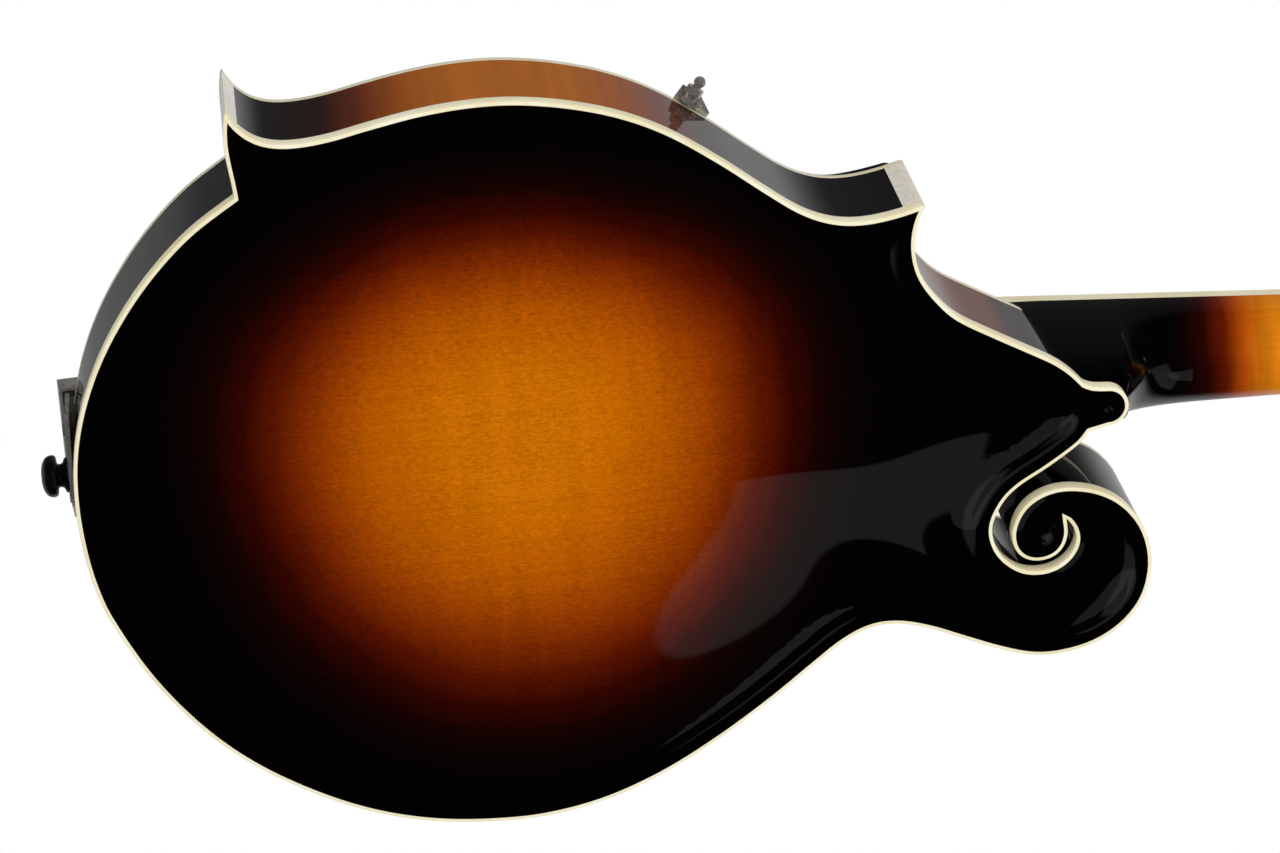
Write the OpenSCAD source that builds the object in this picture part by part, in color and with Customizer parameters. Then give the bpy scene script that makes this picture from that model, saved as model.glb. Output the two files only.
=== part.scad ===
// Carved F-style mandolin, upright: +Z runs along the neck, +Y is the back, +X the treble side.
// The origin is on the tail end, at the middle of the rib's height. All sizes are in millimetres.

/* [Body] */
// Length of the body from the tail to the tip of the heel button
body_length = 352; // [340:1:360]
// Height of the body at its edge, plates and ribs together
rim_height = 46; // [42:1:50]
// Rise of the back's arch above its edge
back_arch = 14; // [10:1:16]
// Rise of the top's arch above its edge
top_arch = 14; // [12:1:15]
// Thickness of the back plate at its edge
back_edge = 5; // [4:0.5:6]
// Thickness of the top plate at its edge
top_edge = 3; // [2.5:0.5:4]
// Thickness of the bent ribs
rib_t = 2.5; // [2:0.5:3]
// Width of the binding on the faces of the plates
binding_w = 1.3; // [1:0.1:2]

/* [Neck] */
// Open string length from the nut to the bridge
scale_length = 352; // [350:1:354]
// Width of the fretboard at the nut
nut_width = 28.6; // [28:0.2:30]
// Width of the fretboard where the neck meets the body
joint_width = 40; // [38:0.5:42]
// Angle between the fretboard and the body
neck_pitch = 5.7; // [5.2:0.1:6]
// Angle between the headstock and the fretboard
head_angle = 15; // [13:1:16]
// Thickness of the fretboard
board_t = 5; // [4:0.5:6]
// Number of frets
fret_count = 22; // [20:1:22]

/* [Tuners] */
// Distance between neighbouring string posts
post_pitch = 23; // [22.5:0.1:23.2]
// Radius of a string post
post_r = 3; // [2.8:0.1:3]
// Teeth on a post's gear
gear_teeth = 16; // [16:1:16]
// Axial pitch of the worm's thread
worm_pitch = 2.26; // [2.26:0.01:2.26]

/* [Hidden] */

// Planes across the body's height
back_y = rim_height / 2;
front_y = -rim_height / 2;
rib_back_y = back_y - back_edge;
rib_front_y = front_y + top_edge;
fit = 0.1;

// The arch is a raised cosine over an egg-shaped plan
arch_x = -4;
arch_z = 148;
arch_half_w = 118;
arch_tail = 142;
arch_neck = 185;
cell = 8;

// The neck's own frame: its origin is on the playing surface at the nut
joint_z = body_length - 11;
joint_y = front_y - 7.6;
nut_z = joint_z + fret_at(15) * cos(neck_pitch);
nut_y = joint_y + fret_at(15) * sin(neck_pitch);
board_end = 268;
nut_t = 4;

// The headstock's own frame: its origin is on the front face behind the nut
head_drop = 4;
head_t = 13;
veneer_t = 2;
head_back = head_t + veneer_t;
plate_t = 1.2;
post_x = 24;
first_post_z = 32;
gear_r = 6.35;
gear_root_r = 5.2;
gear_t = 2.4;
worm_drop = 8.45;
worm_y = head_back + plate_t + 3.6;
worm_r = 3;
worm_core_r = 2;

// Bridge and strings
bridge_z = nut_z - (scale_length + 1) * cos(neck_pitch);
string_rise = 5.6;
bridge_top_y = nut_y - (scale_length + 1) * sin(neck_pitch) - string_rise;
stud_x = 31;
stud_r = 1.8;
wheel_r = 5.5;
tail_y = front_y - 5;
tail_angle = 5.8;
string_r = [0.51, 0.51, 0.33, 0.33, 0.19, 0.19, 0.14, 0.14];
string_post = [5, 6, 7, 8, 4, 3, 2, 1];

// Outline of the body, counter-clockwise seen with +X right and +Z up
lower_point = [
    [100.5, 61], [105, 60.6], [111, 59.8], [117, 59.2], [123, 59.3], [129.5, 60.3]
];
treble_side = [
    [129.5, 60.8], [126, 62.6], [122, 66], [118.5, 71.5], [117, 80], [118, 92], [121, 106],
    [124, 122], [125.5, 138], [125.2, 153], [122.5, 170], [117.5, 187], [110, 202.5],
    [99, 218.5], [88, 232.5], [79.5, 244], [75, 254], [73.7, 264], [75, 275], [77.5, 284.5]
];
upper_side = [
    [77, 285], [73, 283], [67, 281.4], [61, 281.2], [55, 282.2], [49.5, 284.6], [43.5, 288.8],
    [37, 295], [30, 306.5], [23.5, 318], [18, 327.5], [13.5, 333], [9, 337]
];
button_side = [[9, 337], [7.5, 339.5], [6.8, 343]];
button_r = 7;
slot_outside = [
    [-8.5, 338.5], [-13, 334.6], [-20, 324.5], [-26, 314.5], [-31.5, 308.8], [-39.5, 305],
    [-46.5, 305.5], [-52.5, 308.8], [-57, 314.5], [-58.3, 320.5], [-57.3, 326], [-54, 330.7],
    [-49, 333.4], [-44, 333], [-40, 330.5]
];
scroll_and_bass = [
    [-40, 330.2], [-44, 330.8], [-48.5, 330], [-52.5, 327.3], [-54.5, 322.5], [-54, 317],
    [-50.5, 312.8], [-44.5, 311.3], [-38.5, 312.8], [-33.5, 316], [-29.8, 321.5], [-28.2, 328],
    [-28.7, 335], [-31, 342.5], [-36, 350], [-44.5, 356.3], [-55, 359.3], [-65, 358.8],
    [-74, 355.5], [-82, 348.5], [-87.5, 339], [-90, 328], [-89.8, 318], [-86.5, 307],
    [-81, 294], [-76, 282.5], [-73, 271.5], [-73.5, 262], [-78, 252.5], [-85.5, 242.5],
    [-97.5, 227], [-109.5, 209.5], [-120.5, 190.5], [-128.5, 171], [-132.5, 153], [-133.5, 136],
    [-131.5, 112.5], [-125.5, 90], [-115.5, 69], [-102, 49], [-86, 32.7], [-66.5, 18.6],
    [-45, 7.7], [-31, 3.2], [-16, 0.8], [0, 0], [16, 1.3], [32, 5.3], [48, 12], [63, 21],
    [77, 32], [90, 45.5], [100.5, 61]
];

// Outline of one f-hole's centre line, from its lower eye to its upper eye
f_hole_line = [
    [67, 149], [60, 146], [54.5, 152], [53.5, 166], [56, 182], [57.5, 196], [55, 212], [47.5, 221], [40, 217]
];

// Outline of the headstock in its own frame
head_sides = [
    [14.3, 0], [16, 6], [22, 13], [31, 18], [36, 25], [36.5, 36], [36.5, 60], [37.5, 90],
    [39.5, 110], [43, 124], [47, 133]
];
head_crown = [
    [47, 134], [41, 132], [34, 133], [27, 137], [20, 143], [11, 148], [2, 150], [-7, 149],
    [-15, 145], [-20, 139.5]
];
head_scroll = [
    [-20, 139.5], [-25, 136], [-30, 137], [-35, 141], [-42, 141.5], [-48, 138], [-50, 131.5],
    [-47.5, 124], [-43, 116], [-39.5, 105], [-37.5, 90], [-36.5, 60], [-36.5, 36], [-36, 25],
    [-31, 18], [-22, 13], [-16, 6], [-14.3, 0]
];

// Curves
function curve_at(a, b, c, d, t) =
    0.5 * (2 * b + (c - a) * t + (2 * a - 5 * b + 4 * c - d) * t * t + (3 * b - a - 3 * c + d) * t * t * t);
function curve(pts, steps) =
    let (m = len(pts) - 1)
    [for (i = [0:m - 1], s = [0:steps - 1])
        curve_at(pts[max(i - 1, 0)], pts[i], pts[i + 1], pts[min(i + 2, m)], s / steps)];
function button_curve() = [
    for (t = [0:20:180]) [button_r * cos(t), body_length - button_r + button_r * sin(t)]
];
function body_points(button) =
    concat(
        curve(lower_point, 2), curve(treble_side, 2), curve(upper_side, 2),
        button ? concat(curve(button_side, 1), button_curve()) : [[9, 337]],
        curve(slot_outside, 3), curve(scroll_and_bass, 3)
    );

// Height of the arch over its edge, from 0 to 1
function arch_radius(x, z) =
    norm([(x - arch_x) / arch_half_w, (z - arch_z) / (z < arch_z ? arch_tail : arch_neck)]);
function arch(x, z) = (1 + cos(180 * min(1, arch_radius(x, z)))) / 2;
function top_surface(x, z) = front_y - top_arch * arch(x, z);

// Distance from the nut to a fret
function fret_at(n) = scale_length * (1 - pow(2, -n / 12));
function board_half(d) = (nut_width + (joint_width - nut_width) * d / fret_at(15)) / 2;

// Points from the neck's and the headstock's frames to the body's
function neck_pt(p) = [
    p.x,
    nut_y + p.y * cos(neck_pitch) + p.z * sin(neck_pitch),
    nut_z - p.y * sin(neck_pitch) + p.z * cos(neck_pitch)
];
function head_pt(p) = neck_pt([
    p.x,
    head_drop + p.y * cos(head_angle) + p.z * sin(head_angle),
    nut_t - p.y * sin(head_angle) + p.z * cos(head_angle)
]);
function tail_pt(p) = [
    p.x,
    tail_y + p.y * cos(tail_angle) - p.z * sin(tail_angle),
    -0.9 + p.y * sin(tail_angle) + p.z * cos(tail_angle)
];

// String positions: four pairs, numbered from the bass side
function pair_x(k, pair_gap, spread) = (floor(k / 2) - 1.5) * spread + (k % 2 == 0 ? -1 : 1) * pair_gap / 2;
function post_side(i) = i <= 4 ? 1 : -1;
function post_at(i) = [post_side(i) * post_x, 0, first_post_z + ((i - 1) % 4) * post_pitch];

module neck_frame() {
    translate([0, nut_y, nut_z]) rotate([-neck_pitch, 0, 0]) children();
}

module head_frame() {
    neck_frame() translate([0, head_drop, nut_t]) rotate([-head_angle, 0, 0]) children();
}

module tail_frame() {
    translate([0, tail_y, -0.9]) rotate([tail_angle, 0, 0]) children();
}

// A flat outline in X and Z, as a slab from y_front to y_back
module slab(y_front, y_back) {
    translate([0, y_back, 0]) rotate([90, 0, 0]) linear_extrude(y_back - y_front) children();
}

// A flat outline in Y and Z, extruded across X
module side_slab(width) {
    rotate([90, 0, 90]) linear_extrude(width, center = true) children();
}

// A cylinder along Y from y_front to y_back
module y_rod(x, z, r, y_front, y_back) {
    translate([x, y_back, z]) rotate([90, 0, 0]) cylinder(r = r, h = y_back - y_front, $fn = 48);
}

// A round wire through a list of points, as one closed tube
module wire(pts, r) {
    sides = 10;
    last = len(pts) - 1;
    rings = [for (i = [0:last])
        let (
            along = pts[min(i + 1, last)] - pts[max(i - 1, 0)],
            t = along / norm(along),
            u = cross(t, [0, 1, 0]) / norm(cross(t, [0, 1, 0])),
            v = cross(t, u)
        )
        for (k = [0:sides - 1]) pts[i] + r * (cos(k * 36) * u + sin(k * 36) * v)];
    skin = [for (i = [0:last - 1], k = [0:sides - 1])
        let (a = sides * i + k, b = sides * i + (k + 1) % sides)
            each [[a, a + sides, b], [b, a + sides, b + sides]]];
    ends = [[for (k = [0:sides - 1]) k], [for (k = [sides - 1:-1:0]) sides * last + k]];
    polyhedron(points = rings, faces = concat(skin, ends));
}

module body_outline(inset, button = true) {
    offset(delta = -inset) polygon(body_points(button));
}

module rim_ring(outer, inner, button = true) {
    offset(delta = 0) difference() {
        body_outline(outer, button);
        body_outline(inner, button);
    }
}

// The rectangle between two corners
module region(x0, z0, x1, z1) {
    translate([x0, z0]) square([x1 - x0, z1 - z0]);
}

module point_caps() {
    translate([129.5, 60.5]) circle(r = 8, $fn = 32);
    translate([77.5, 284.7]) circle(r = 8, $fn = 32);
}

// A shell under a raised-cosine arch, on the +Y side, as two grids of points joined round their edges
module arched_shell(rise, edge_t) {
    nx = ceil(280 / cell);
    nz = ceil(372 / cell);
    outer = [for (i = [0:nx], j = [0:nz])
        let (x = -142 + i * cell, z = -6 + j * cell) [x, back_y + rise * arch(x, z), z]];
    inner = [for (i = [0:nx], j = [0:nz])
        let (x = -142 + i * cell, z = -6 + j * cell) [x, back_y - edge_t + (rise - 0.5) * arch(x, z), z]];
    n = (nx + 1) * (nz + 1);
    row = nz + 1;
    outer_faces = [for (i = [0:nx - 1], j = [0:nz - 1])
        let (a = i * row + j, b = a + row) each [[a, b, b + 1], [a, b + 1, a + 1]]];
    inner_faces = [for (f = outer_faces) [f[2] + n, f[1] + n, f[0] + n]];
    low_rim = [for (i = [0:nx - 1]) let (a = i * row) [a + row, a, a + n, a + row + n]];
    high_rim = [for (i = [0:nx - 1]) let (a = i * row + nz) [a, a + row, a + row + n, a + n]];
    left_rim = [for (j = [0:nz - 1]) [j, j + 1, j + 1 + n, j + n]];
    right_rim = [for (j = [0:nz - 1]) let (a = nx * row + j) [a + 1, a, a + n, a + 1 + n]];
    polyhedron(
        points = concat(outer, inner),
        faces = concat(outer_faces, inner_faces, low_rim, high_rim, left_rim, right_rim)
    );
}

module f_hole() {
    line = curve(f_hole_line, 3);
    eye = len(line) - 1;
    translate(f_hole_line[0]) circle(r = 4, $fn = 24);
    translate(f_hole_line[8]) circle(r = 3.5, $fn = 24);
    for (i = [0:eye - 1]) {
        width = 1.3 + 2 * sin(180 * i / eye);
        hull() {
            translate(line[i]) circle(r = width, $fn = 12);
            translate(line[i + 1]) circle(r = width, $fn = 12);
        }
    }
}

module back_plate() {
    color([0.52, 0.24, 0.04])
        resize([0, 0, 0]) intersection() {
            arched_shell(back_arch, back_edge);
            slab(rib_back_y - 1, back_y + back_arch + 1) body_outline(binding_w);
        }
}

module top_plate() {
    color([0.72, 0.42, 0.12])
        resize([0, 0, 0]) difference() {
            intersection() {
                mirror([0, 1, 0]) arched_shell(top_arch, top_edge);
                slab(front_y - top_arch - 1, rib_front_y + 1) body_outline(binding_w, false);
            }
            slab(front_y - top_arch - 2, rib_front_y + 2) f_hole();
            slab(front_y - top_arch - 2, rib_front_y + 2) mirror([1, 0]) f_hole();
        }
}

module rib(x0, z0, x1, z1) {
    color([0.3, 0.13, 0.04])
        slab(rib_front_y, rib_back_y) offset(delta = 0) difference() {
            intersection() {
                rim_ring(0, rib_t, false);
                region(x0, z0, x1, z1);
            }
            point_caps();
        }
}

module rib_scroll() {
    rib(-150, 57, 0, 370);
}

module rib_tail() {
    difference() {
        rib(-150, -5, 150, 57);
        translate([0, 0, -5]) cylinder(r = 3.6, h = 20, $fn = 48);
    }
}

module rib_treble() {
    rib(0, 57, 150, 270);
}

module rib_upper() {
    rib(0, 270, 150, 345);
}

// Blocks inside the ribs: tail, neck with scroll, and the two points
module body_blocks() {
    color([0.75, 0.6, 0.4])
        difference() {
            slab(rib_front_y + fit, rib_back_y - fit) offset(delta = 0) intersection() {
                body_outline(rib_t + 0.05, false);
                union() {
                    region(-24, 0, 24, 20);
                    region(-24, 300, 24, 345);
                    region(-95, 296, -24, 362);
                    region(90, 57, 130, 82);
                    region(58, 266, 80, 290);
                }
            }
            translate([0, 0, -5]) cylinder(r = 3.6, h = 30, $fn = 48);
        }
}

// Strips that back the joints between the ribs and the plates
module lining(y_front, y_back) {
    slab(y_front, y_back) offset(delta = 0) difference() {
        rim_ring(rib_t + 0.1, rib_t + 6, false);
        region(-25, -5, 25, 21);
        region(-25, 299, 25, 350);
        region(-96, 295, -24, 365);
        region(89, 55, 135, 83);
        region(57, 265, 85, 291);
    }
}

module linings() {
    color([0.8, 0.68, 0.48]) {
        lining(rib_back_y - 10, rib_back_y - fit);
        lining(rib_front_y + fit, rib_front_y + 10);
    }
}

module tone_bar(x) {
    zs = [70:20:290];
    under = [for (z = zs) [top_surface(x > 0 ? x + 3 : x - 3, z) + top_edge + 1.2, z]];
    translate([x, 0, 0]) side_slab(6) polygon(concat(under, [[rib_front_y + 6, 280], [rib_front_y + 6, 80]]));
}

module tone_bars() {
    color([0.85, 0.72, 0.5]) {
        tone_bar(-22);
        tone_bar(22);
    }
}

module back_binding() {
    color([0.93, 0.9, 0.78])
        slab(rib_back_y, back_y) rim_ring(0, binding_w);
}

module top_binding() {
    color([0.93, 0.9, 0.78])
        slab(front_y, rib_front_y) rim_ring(0, binding_w, false);
}

module point_protectors() {
    color([0.95, 0.93, 0.84])
        slab(rib_front_y, rib_back_y) offset(delta = 0) intersection() {
            rim_ring(0, rib_t, false);
            point_caps();
        }
}

// Strap button: head, neck, flange and shank turned from one rod
module end_pin() {
    color([0.05, 0.05, 0.05])
        rotate_extrude($fn = 64) polygon([
            [0, 16], [2.8, 16], [3.5, 0], [3.5, -1.7], [5.8, -1.8], [5.8, -3.2], [4.2, -3.8], [4.2, -5.4],
            [6.4, -6], [7, -6.8], [7, -9.6], [6, -10.6], [3, -11], [0, -11.1]
        ]);
}

module tailpiece_base() {
    color([0.75, 0.75, 0.77]) {
        difference() {
            union() {
                translate([0, 0, -1.7]) linear_extrude(1.5) offset(r = 2, $fn = 24) polygon([
                    [-16, -27.5], [16, -27.5], [16, -6], [8, 4], [4, 7], [-4, 7], [-8, 4], [-16, -6]
                ]);
                tail_frame() translate([-16, -1.2, -0.6]) cube([32, 1.2, 60]);
            }
            translate([0, 0, -5]) cylinder(r = 3.9, h = 10, $fn = 48);
            for (x = [-12, 12]) translate([x, -11, -5]) cylinder(r = 1.7, h = 10, $fn = 32);
        }
        for (k = [0:7]) tail_frame() y_rod(pair_x(k, 3, 10.2), 50, 0.9, -5.4, -1.2);
    }
}

// Stamped lid that slides off towards the bridge
module tailpiece_cover() {
    color([0.82, 0.82, 0.84])
        tail_frame() difference() {
            translate([0, -0.4, 0]) slab(-9, 0) cover_plan(0);
            translate([0, -0.4, 0]) slab(-8, 1) cover_plan(1);
            translate([-19.3, -7.5, 80]) cube([38.6, 9, 20]);
            translate([-18.4, -2.4, -8]) cube([36.8, 4, 12]);
        }
}

module cover_plan(inset) {
    offset(delta = -inset) polygon(concat(
        [[-19.5, -2.5], [19.5, -2.5]],
        curve([[19.5, 62], [21, 70], [25, 76], [27, 82], [24, 88], [16, 90], [8, 93], [0, 95]], 3),
        curve([[0, 95], [-8, 93], [-16, 90], [-24, 88], [-27, 82], [-25, 76], [-21, 70], [-19.5, 62]], 3)
    ));
}

module screw_head(r, h) {
    difference() {
        cylinder(r = r, h = h, $fn = 32);
        translate([-r, -0.3, h - 0.5]) cube([2 * r, 0.6, 1]);
    }
}

module tailpiece_screws() {
    color([0.7, 0.7, 0.72])
        for (x = [-12, 12]) translate([x, -11, -1.7]) {
            mirror([0, 0, 1]) screw_head(2.8, 1.2);
            translate([0, 0, -0.2]) cylinder(r = 1.3, h = 1.8, $fn = 24);
        }
}

module pickguard() {
    color([0.06, 0.05, 0.05])
        neck_frame() slab(2, 4) polygon(concat(
            curve([[24, -338], [34, -341.5], [48, -342.5], [62, -341.5], [74, -338.5], [82, -333],
                [85, -326], [83, -317.5], [78, -308], [73.4, -299], [70.4, -291], [69.3, -284],
                [70.3, -275], [72.6, -264.5]], 3),
            curve([[72.6, -264.5], [71.5, -262.6], [66, -264.5], [58, -265.5], [50, -263], [42, -257.5],
                [33, -251.5], [23, -247]], 3),
            [[23, -247], [23.5, -300]]
        ));
}

// Plate under the treble edge, with a stud across the rim, its hex and domed nuts, and an arm to the pickguard
module pickguard_bracket() {
    stud_z = -2.6;
    screw_z = 1.6;
    color([0.72, 0.72, 0.74]) {
        translate([102, 0, 214.6]) rotate([0, -34, 0]) {
            slab(front_y - 2.1, front_y - 0.6) polygon([
                [-9, -4], [0, -6.5], [5.2, -6], [5.2, 0.5], [1.2, 6.5], [0, 6.5], [-9, 4]
            ]);
            slab(front_y - 2, front_y + 4.2) region(1.2, stud_z - 2, 2.6, stud_z + 2);
            translate([1.4, front_y + 2, stud_z]) rotate([0, 90, 0]) {
                cylinder(r = 1.4, h = 8, $fn = 32);
                translate([0, 0, 0.9]) cylinder(r1 = 1.7, r2 = 2.3, h = 2.4, $fn = 32);
                translate([0, 0, 3.2]) cylinder(r = 3, h = 2.6, $fn = 6);
                translate([0, 0, 8]) sphere(r = 2, $fn = 32);
            }
            slab(front_y - 2, front_y + 0.6) region(1, screw_z - 1, 2, screw_z + 1);
            translate([1.6, front_y + 0.8, screw_z]) sphere(r = 1.2, $fn = 32);
        }
        wire([[97, front_y - 2.4, 211.3], [92.6, front_y - 8, 212.6], [76, front_y - 14.5, 216]], 1.3);
    }
}

// Two-footed base that follows the top's arch
module bridge_base() {
    z_low = bridge_z - 6;
    foot = [for (x = [57:-4:29]) [x, top_surface(x, z_low) - 0.25]];
    foot_bass = [for (x = [-29:-4:-57]) [x, top_surface(x, z_low) - 0.25]];
    relief = top_surface(0, z_low) - 1.8;
    color([0.07, 0.05, 0.05])
        difference() {
            translate([0, 0, z_low]) linear_extrude(12) polygon(concat(
                foot,
                [[26, relief], [-26, relief]],
                foot_bass,
                [[-57.5, -33.5], [-50, -36], [-42, -39.6], [-36, -40.4], [36, -40.4], [42, -39.6], [50, -36],
                    [57.5, -33.5]]
            ));
            for (x = [-stud_x, stud_x]) y_rod(x, bridge_z, stud_r, -45, -35.5);
        }
}

module bridge_saddle() {
    color([0.07, 0.05, 0.05])
        difference() {
            side_profile_saddle();
            for (x = [-stud_x, stud_x]) y_rod(x, bridge_z, stud_r + 0.2, -49.6, -40);
            for (k = [0:7])
                translate([pair_x(k, 3, 12.8), bridge_top_y, bridge_z - 6]) cylinder(r = 0.6, h = 12, $fn = 24);
        }
}

module side_profile_saddle() {
    intersection() {
        translate([0, 0, bridge_z - 3]) linear_extrude(6) polygon([
            [-37, -44.7], [37, -44.7], [37.5, -48], [34, -50.6],
            [22, bridge_top_y - 0.2], [-22, bridge_top_y - 0.2],
            [-34, -50.6], [-37.5, -48]
        ]);
        side_slab(80) polygon([
            [-44, bridge_z - 3], [-48, bridge_z - 3], [-52, bridge_z - 1.3], [-52, bridge_z + 1.3],
            [-48, bridge_z + 3], [-44, bridge_z + 3]
        ]);
    }
}

module bridge_studs() {
    color([0.8, 0.65, 0.3])
        for (x = [-stud_x, stud_x]) y_rod(x, bridge_z, stud_r, -48.5, -35.6);
}

// Knurled wheel: a disc with shallow flutes round its edge
module thumbwheel(x) {
    color([0.8, 0.65, 0.3])
        difference() {
            y_rod(x, bridge_z, wheel_r, -44.5, -42);
            y_rod(x, bridge_z, stud_r + 0.1, -46, -40);
            for (t = [0:20:340])
                y_rod(x + (wheel_r + 0.25) * cos(t), bridge_z + (wheel_r + 0.25) * sin(t), 0.5, -46, -40);
        }
}

module thumbwheel_bass() {
    thumbwheel(-stud_x);
}

module thumbwheel_treble() {
    thumbwheel(stud_x);
}

// Rounded cross-section of the neck at a distance from the nut
module neck_slice(d, depth) {
    half = board_half(d);
    translate([0, board_t, -d]) linear_extrude(0.1) intersection() {
        scale([half, depth]) circle(r = 1, $fn = 48);
        translate([-half, 0]) square([2 * half, depth]);
    }
}

// Cross-section of the heel at a height y
module heel_slice(y, half, z_far) {
    translate([0, y, 0]) rotate([90, 0, 0]) linear_extrude(0.1) hull() {
        translate([-half, 322]) square([2 * half, 4]);
        translate([0, z_far - 5]) scale([1, 5 / half]) circle(r = half, $fn = 32);
    }
}

module neck_wood() {
    hull() {
        neck_frame() neck_slice(190, 18.5);
        neck_frame() neck_slice(120, 16);
        neck_frame() neck_slice(4, 14.5);
    }
    hull() {
        heel_slice(rib_back_y, 6.5, 351.5);
        heel_slice(10, 8, 352.5);
    }
    hull() {
        heel_slice(10, 8, 352.5);
        heel_slice(1, 13, 357);
    }
    hull() {
        heel_slice(1, 13, 357);
        heel_slice(-9, 19, 372);
        neck_frame() neck_slice(fret_at(15) - 2, 12);
        neck_frame() neck_slice(190, 14);
    }
    hull() {
        neck_frame() neck_slice(8, 14);
        neck_frame() translate([-14.3, board_t, 3]) cube([28.6, 13, 1]);
        head_frame() translate([-15, veneer_t + 1, 10]) cube([30, head_t - 1, 1]);
    }
}

// Wood under the end of the fretboard, above the top plate
module board_support() {
    under = neck_pt([0, board_t, 6 - board_end]);
    side_slab(34) polygon([
        [neck_pt([0, board_t, -196]).y, neck_pt([0, board_t, -196]).z],
        [front_y - 0.2, joint_z + 10], [front_y - 0.2, joint_z - 6], [front_y - 3.4, under.z],
        [under.y, under.z]
    ]);
}

module headstock_outline() {
    polygon(concat(curve(head_sides, 2), curve(head_crown, 2), curve(head_scroll, 2)));
}

module neck() {
    color([0.24, 0.1, 0.03])
        difference() {
            union() {
                resize([0, 0, 0]) difference() {
                    union() {
                        neck_wood();
                        board_support();
                    }
                    slab(front_y, back_y + 1) intersection() {
                        body_outline(-0.1, false);
                        region(-60, 280, 60, 345);
                    }
                    slab(rib_back_y, back_y + 2) region(-20, 320, 20, 360);
                }
                head_frame() slab(veneer_t, head_back) offset(delta = 0) intersection() {
                    headstock_outline();
                    region(-60, 4, 60, 160);
                }
            }
            head_frame() for (i = [1:8]) y_rod(post_at(i).x, post_at(i).z, 4.5, -1, head_back + 1);
            neck_frame() translate([0, board_t + 5, -185]) cylinder(r = 2.7, h = 195, $fn = 32);
            neck_frame() translate([-6.5, board_t - 3, 4.2]) cube([13, 13, 20]);
            head_frame() slab(-4, veneer_t + 0.05) region(-30, 1.4, 30, 12);
        }
}

module truss_rod() {
    color([0.6, 0.6, 0.62])
        neck_frame() translate([0, board_t + 5, -184]) cylinder(r = 2.5, h = 200, $fn = 32);
}

module truss_nut() {
    color([0.8, 0.65, 0.3])
        neck_frame() translate([0, board_t + 5, 6]) difference() {
            cylinder(r = 3.8, h = 5.4, $fn = 6);
            translate([0, 0, -1]) cylinder(r = 2.6, h = 12, $fn = 32);
        }
}

module truss_cover() {
    color([0.05, 0.05, 0.05])
        head_frame() slab(-1.6, 0) polygon(concat(
            curve([[8, 2], [8.5, 10], [12, 18], [15, 26], [13, 32], [6, 35.5], [0, 37]], 3),
            curve([[0, 37], [-6, 35.5], [-13, 32], [-15, 26], [-12, 18], [-8.5, 10], [-8, 2]], 3),
            [[-8, 2]]
        ));
}

module board_outline(inset) {
    polygon([
        [-board_half(0) + inset, 0], [board_half(0) - inset, 0],
        [board_half(board_end) - inset, -board_end], [8, -board_end - 4], [-8, -board_end + 6],
        [-board_half(board_end) + inset, -board_end + 10]
    ]);
}

module fretboard() {
    color([0.07, 0.05, 0.05])
        neck_frame() difference() {
            slab(0, board_t) board_outline(1.5);
            for (n = [1:fret_count]) translate([-30, -1, -fret_at(n) - 0.3]) cube([60, 2.5, 0.6]);
            for (n = [3, 5, 7, 10, 12, 15]) marker_place(n) cylinder(r = 2.5, h = 2, $fn = 32);
        }
}

module marker_place(n) {
    translate([0, 1, -(fret_at(n) + fret_at(n - 1)) / 2]) rotate([90, 0, 0]) children();
}

module fretboard_binding() {
    color([0.93, 0.9, 0.78])
        neck_frame() difference() {
            slab(0, board_t) offset(delta = 0) difference() {
                board_outline(0);
                board_outline(1.5);
            }
            for (n = [1:fret_count]) translate([-30, -1, -fret_at(n) - 1.3]) cube([60, 1, 2.6]);
        }
}

module frets() {
    color([0.78, 0.76, 0.7])
        neck_frame() for (n = [1:fret_count]) {
            half = board_half(fret_at(n)) - 0.3;
            translate([-half, -1.1, -fret_at(n) - 1.1]) cube([2 * half, 1.1, 2.2]);
            translate([-half + 1.6, -0.2, -fret_at(n) - 0.25]) cube([2 * half - 3.2, 1.6, 0.5]);
        }
}

module fret_markers() {
    color([0.9, 0.9, 0.88])
        neck_frame() for (n = [3, 5, 7, 10, 12, 15]) marker_place(n) cylinder(r = 2.5, h = 1, $fn = 32);
}

module nut() {
    color([0.93, 0.9, 0.8])
        neck_frame() difference() {
            translate([-nut_width / 2, -1.6, 0.05]) cube([nut_width, board_t + 1.6, nut_t - 0.4]);
            for (k = [0:7]) translate([pair_x(k, 1.8, 7.4), -1.6, -1]) cylinder(r = 0.65, h = 8, $fn = 24);
        }
}

module headstock_veneer() {
    color([0.04, 0.04, 0.04])
        difference() {
            head_frame() slab(0, veneer_t) offset(delta = 0) difference() {
                intersection() {
                    headstock_outline();
                    region(-60, 1.5, 60, 160);
                }
                for (i = [1:8]) translate([post_at(i).x, post_at(i).z]) circle(r = 4.5, $fn = 48);
            }
            neck_frame() translate([-6.5, board_t - 5, 4.2]) cube([13, 10, 20]);
        }
}

// Base plates with two lugs for each worm
module tuner_plate(side) {
    difference() {
        union() {
            slab(head_back, head_back + plate_t) offset(r = 3, $fn = 24)
                translate([side * (post_x - 1.5) - 6, 19]) square([12, 91]);
            for (i = [1:4]) for (u = [-5.4, 5.4]) {
                z = post_at(i).z - worm_drop;
                translate([side * post_x + u - 1, head_back + 0.5, z - 2.8]) cube([2, 7.5, 5.6]);
            }
        }
        for (i = [1:4]) {
            y_rod(side * post_x, post_at(i).z, post_r + 0.15, head_back - 1, head_back + 3);
            translate([side * post_x, worm_y, post_at(i).z - worm_drop]) rotate([0, 90, 0])
                cylinder(r = 1.6, h = 20, center = true, $fn = 32);
        }
    }
    for (z = [18.5, 45, 68, 91, 110.5])
        translate([side * (post_x - 7.5), head_back + plate_t, z]) rotate([-90, 0, 0]) screw_head(1.6, 0.7);
}

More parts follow.
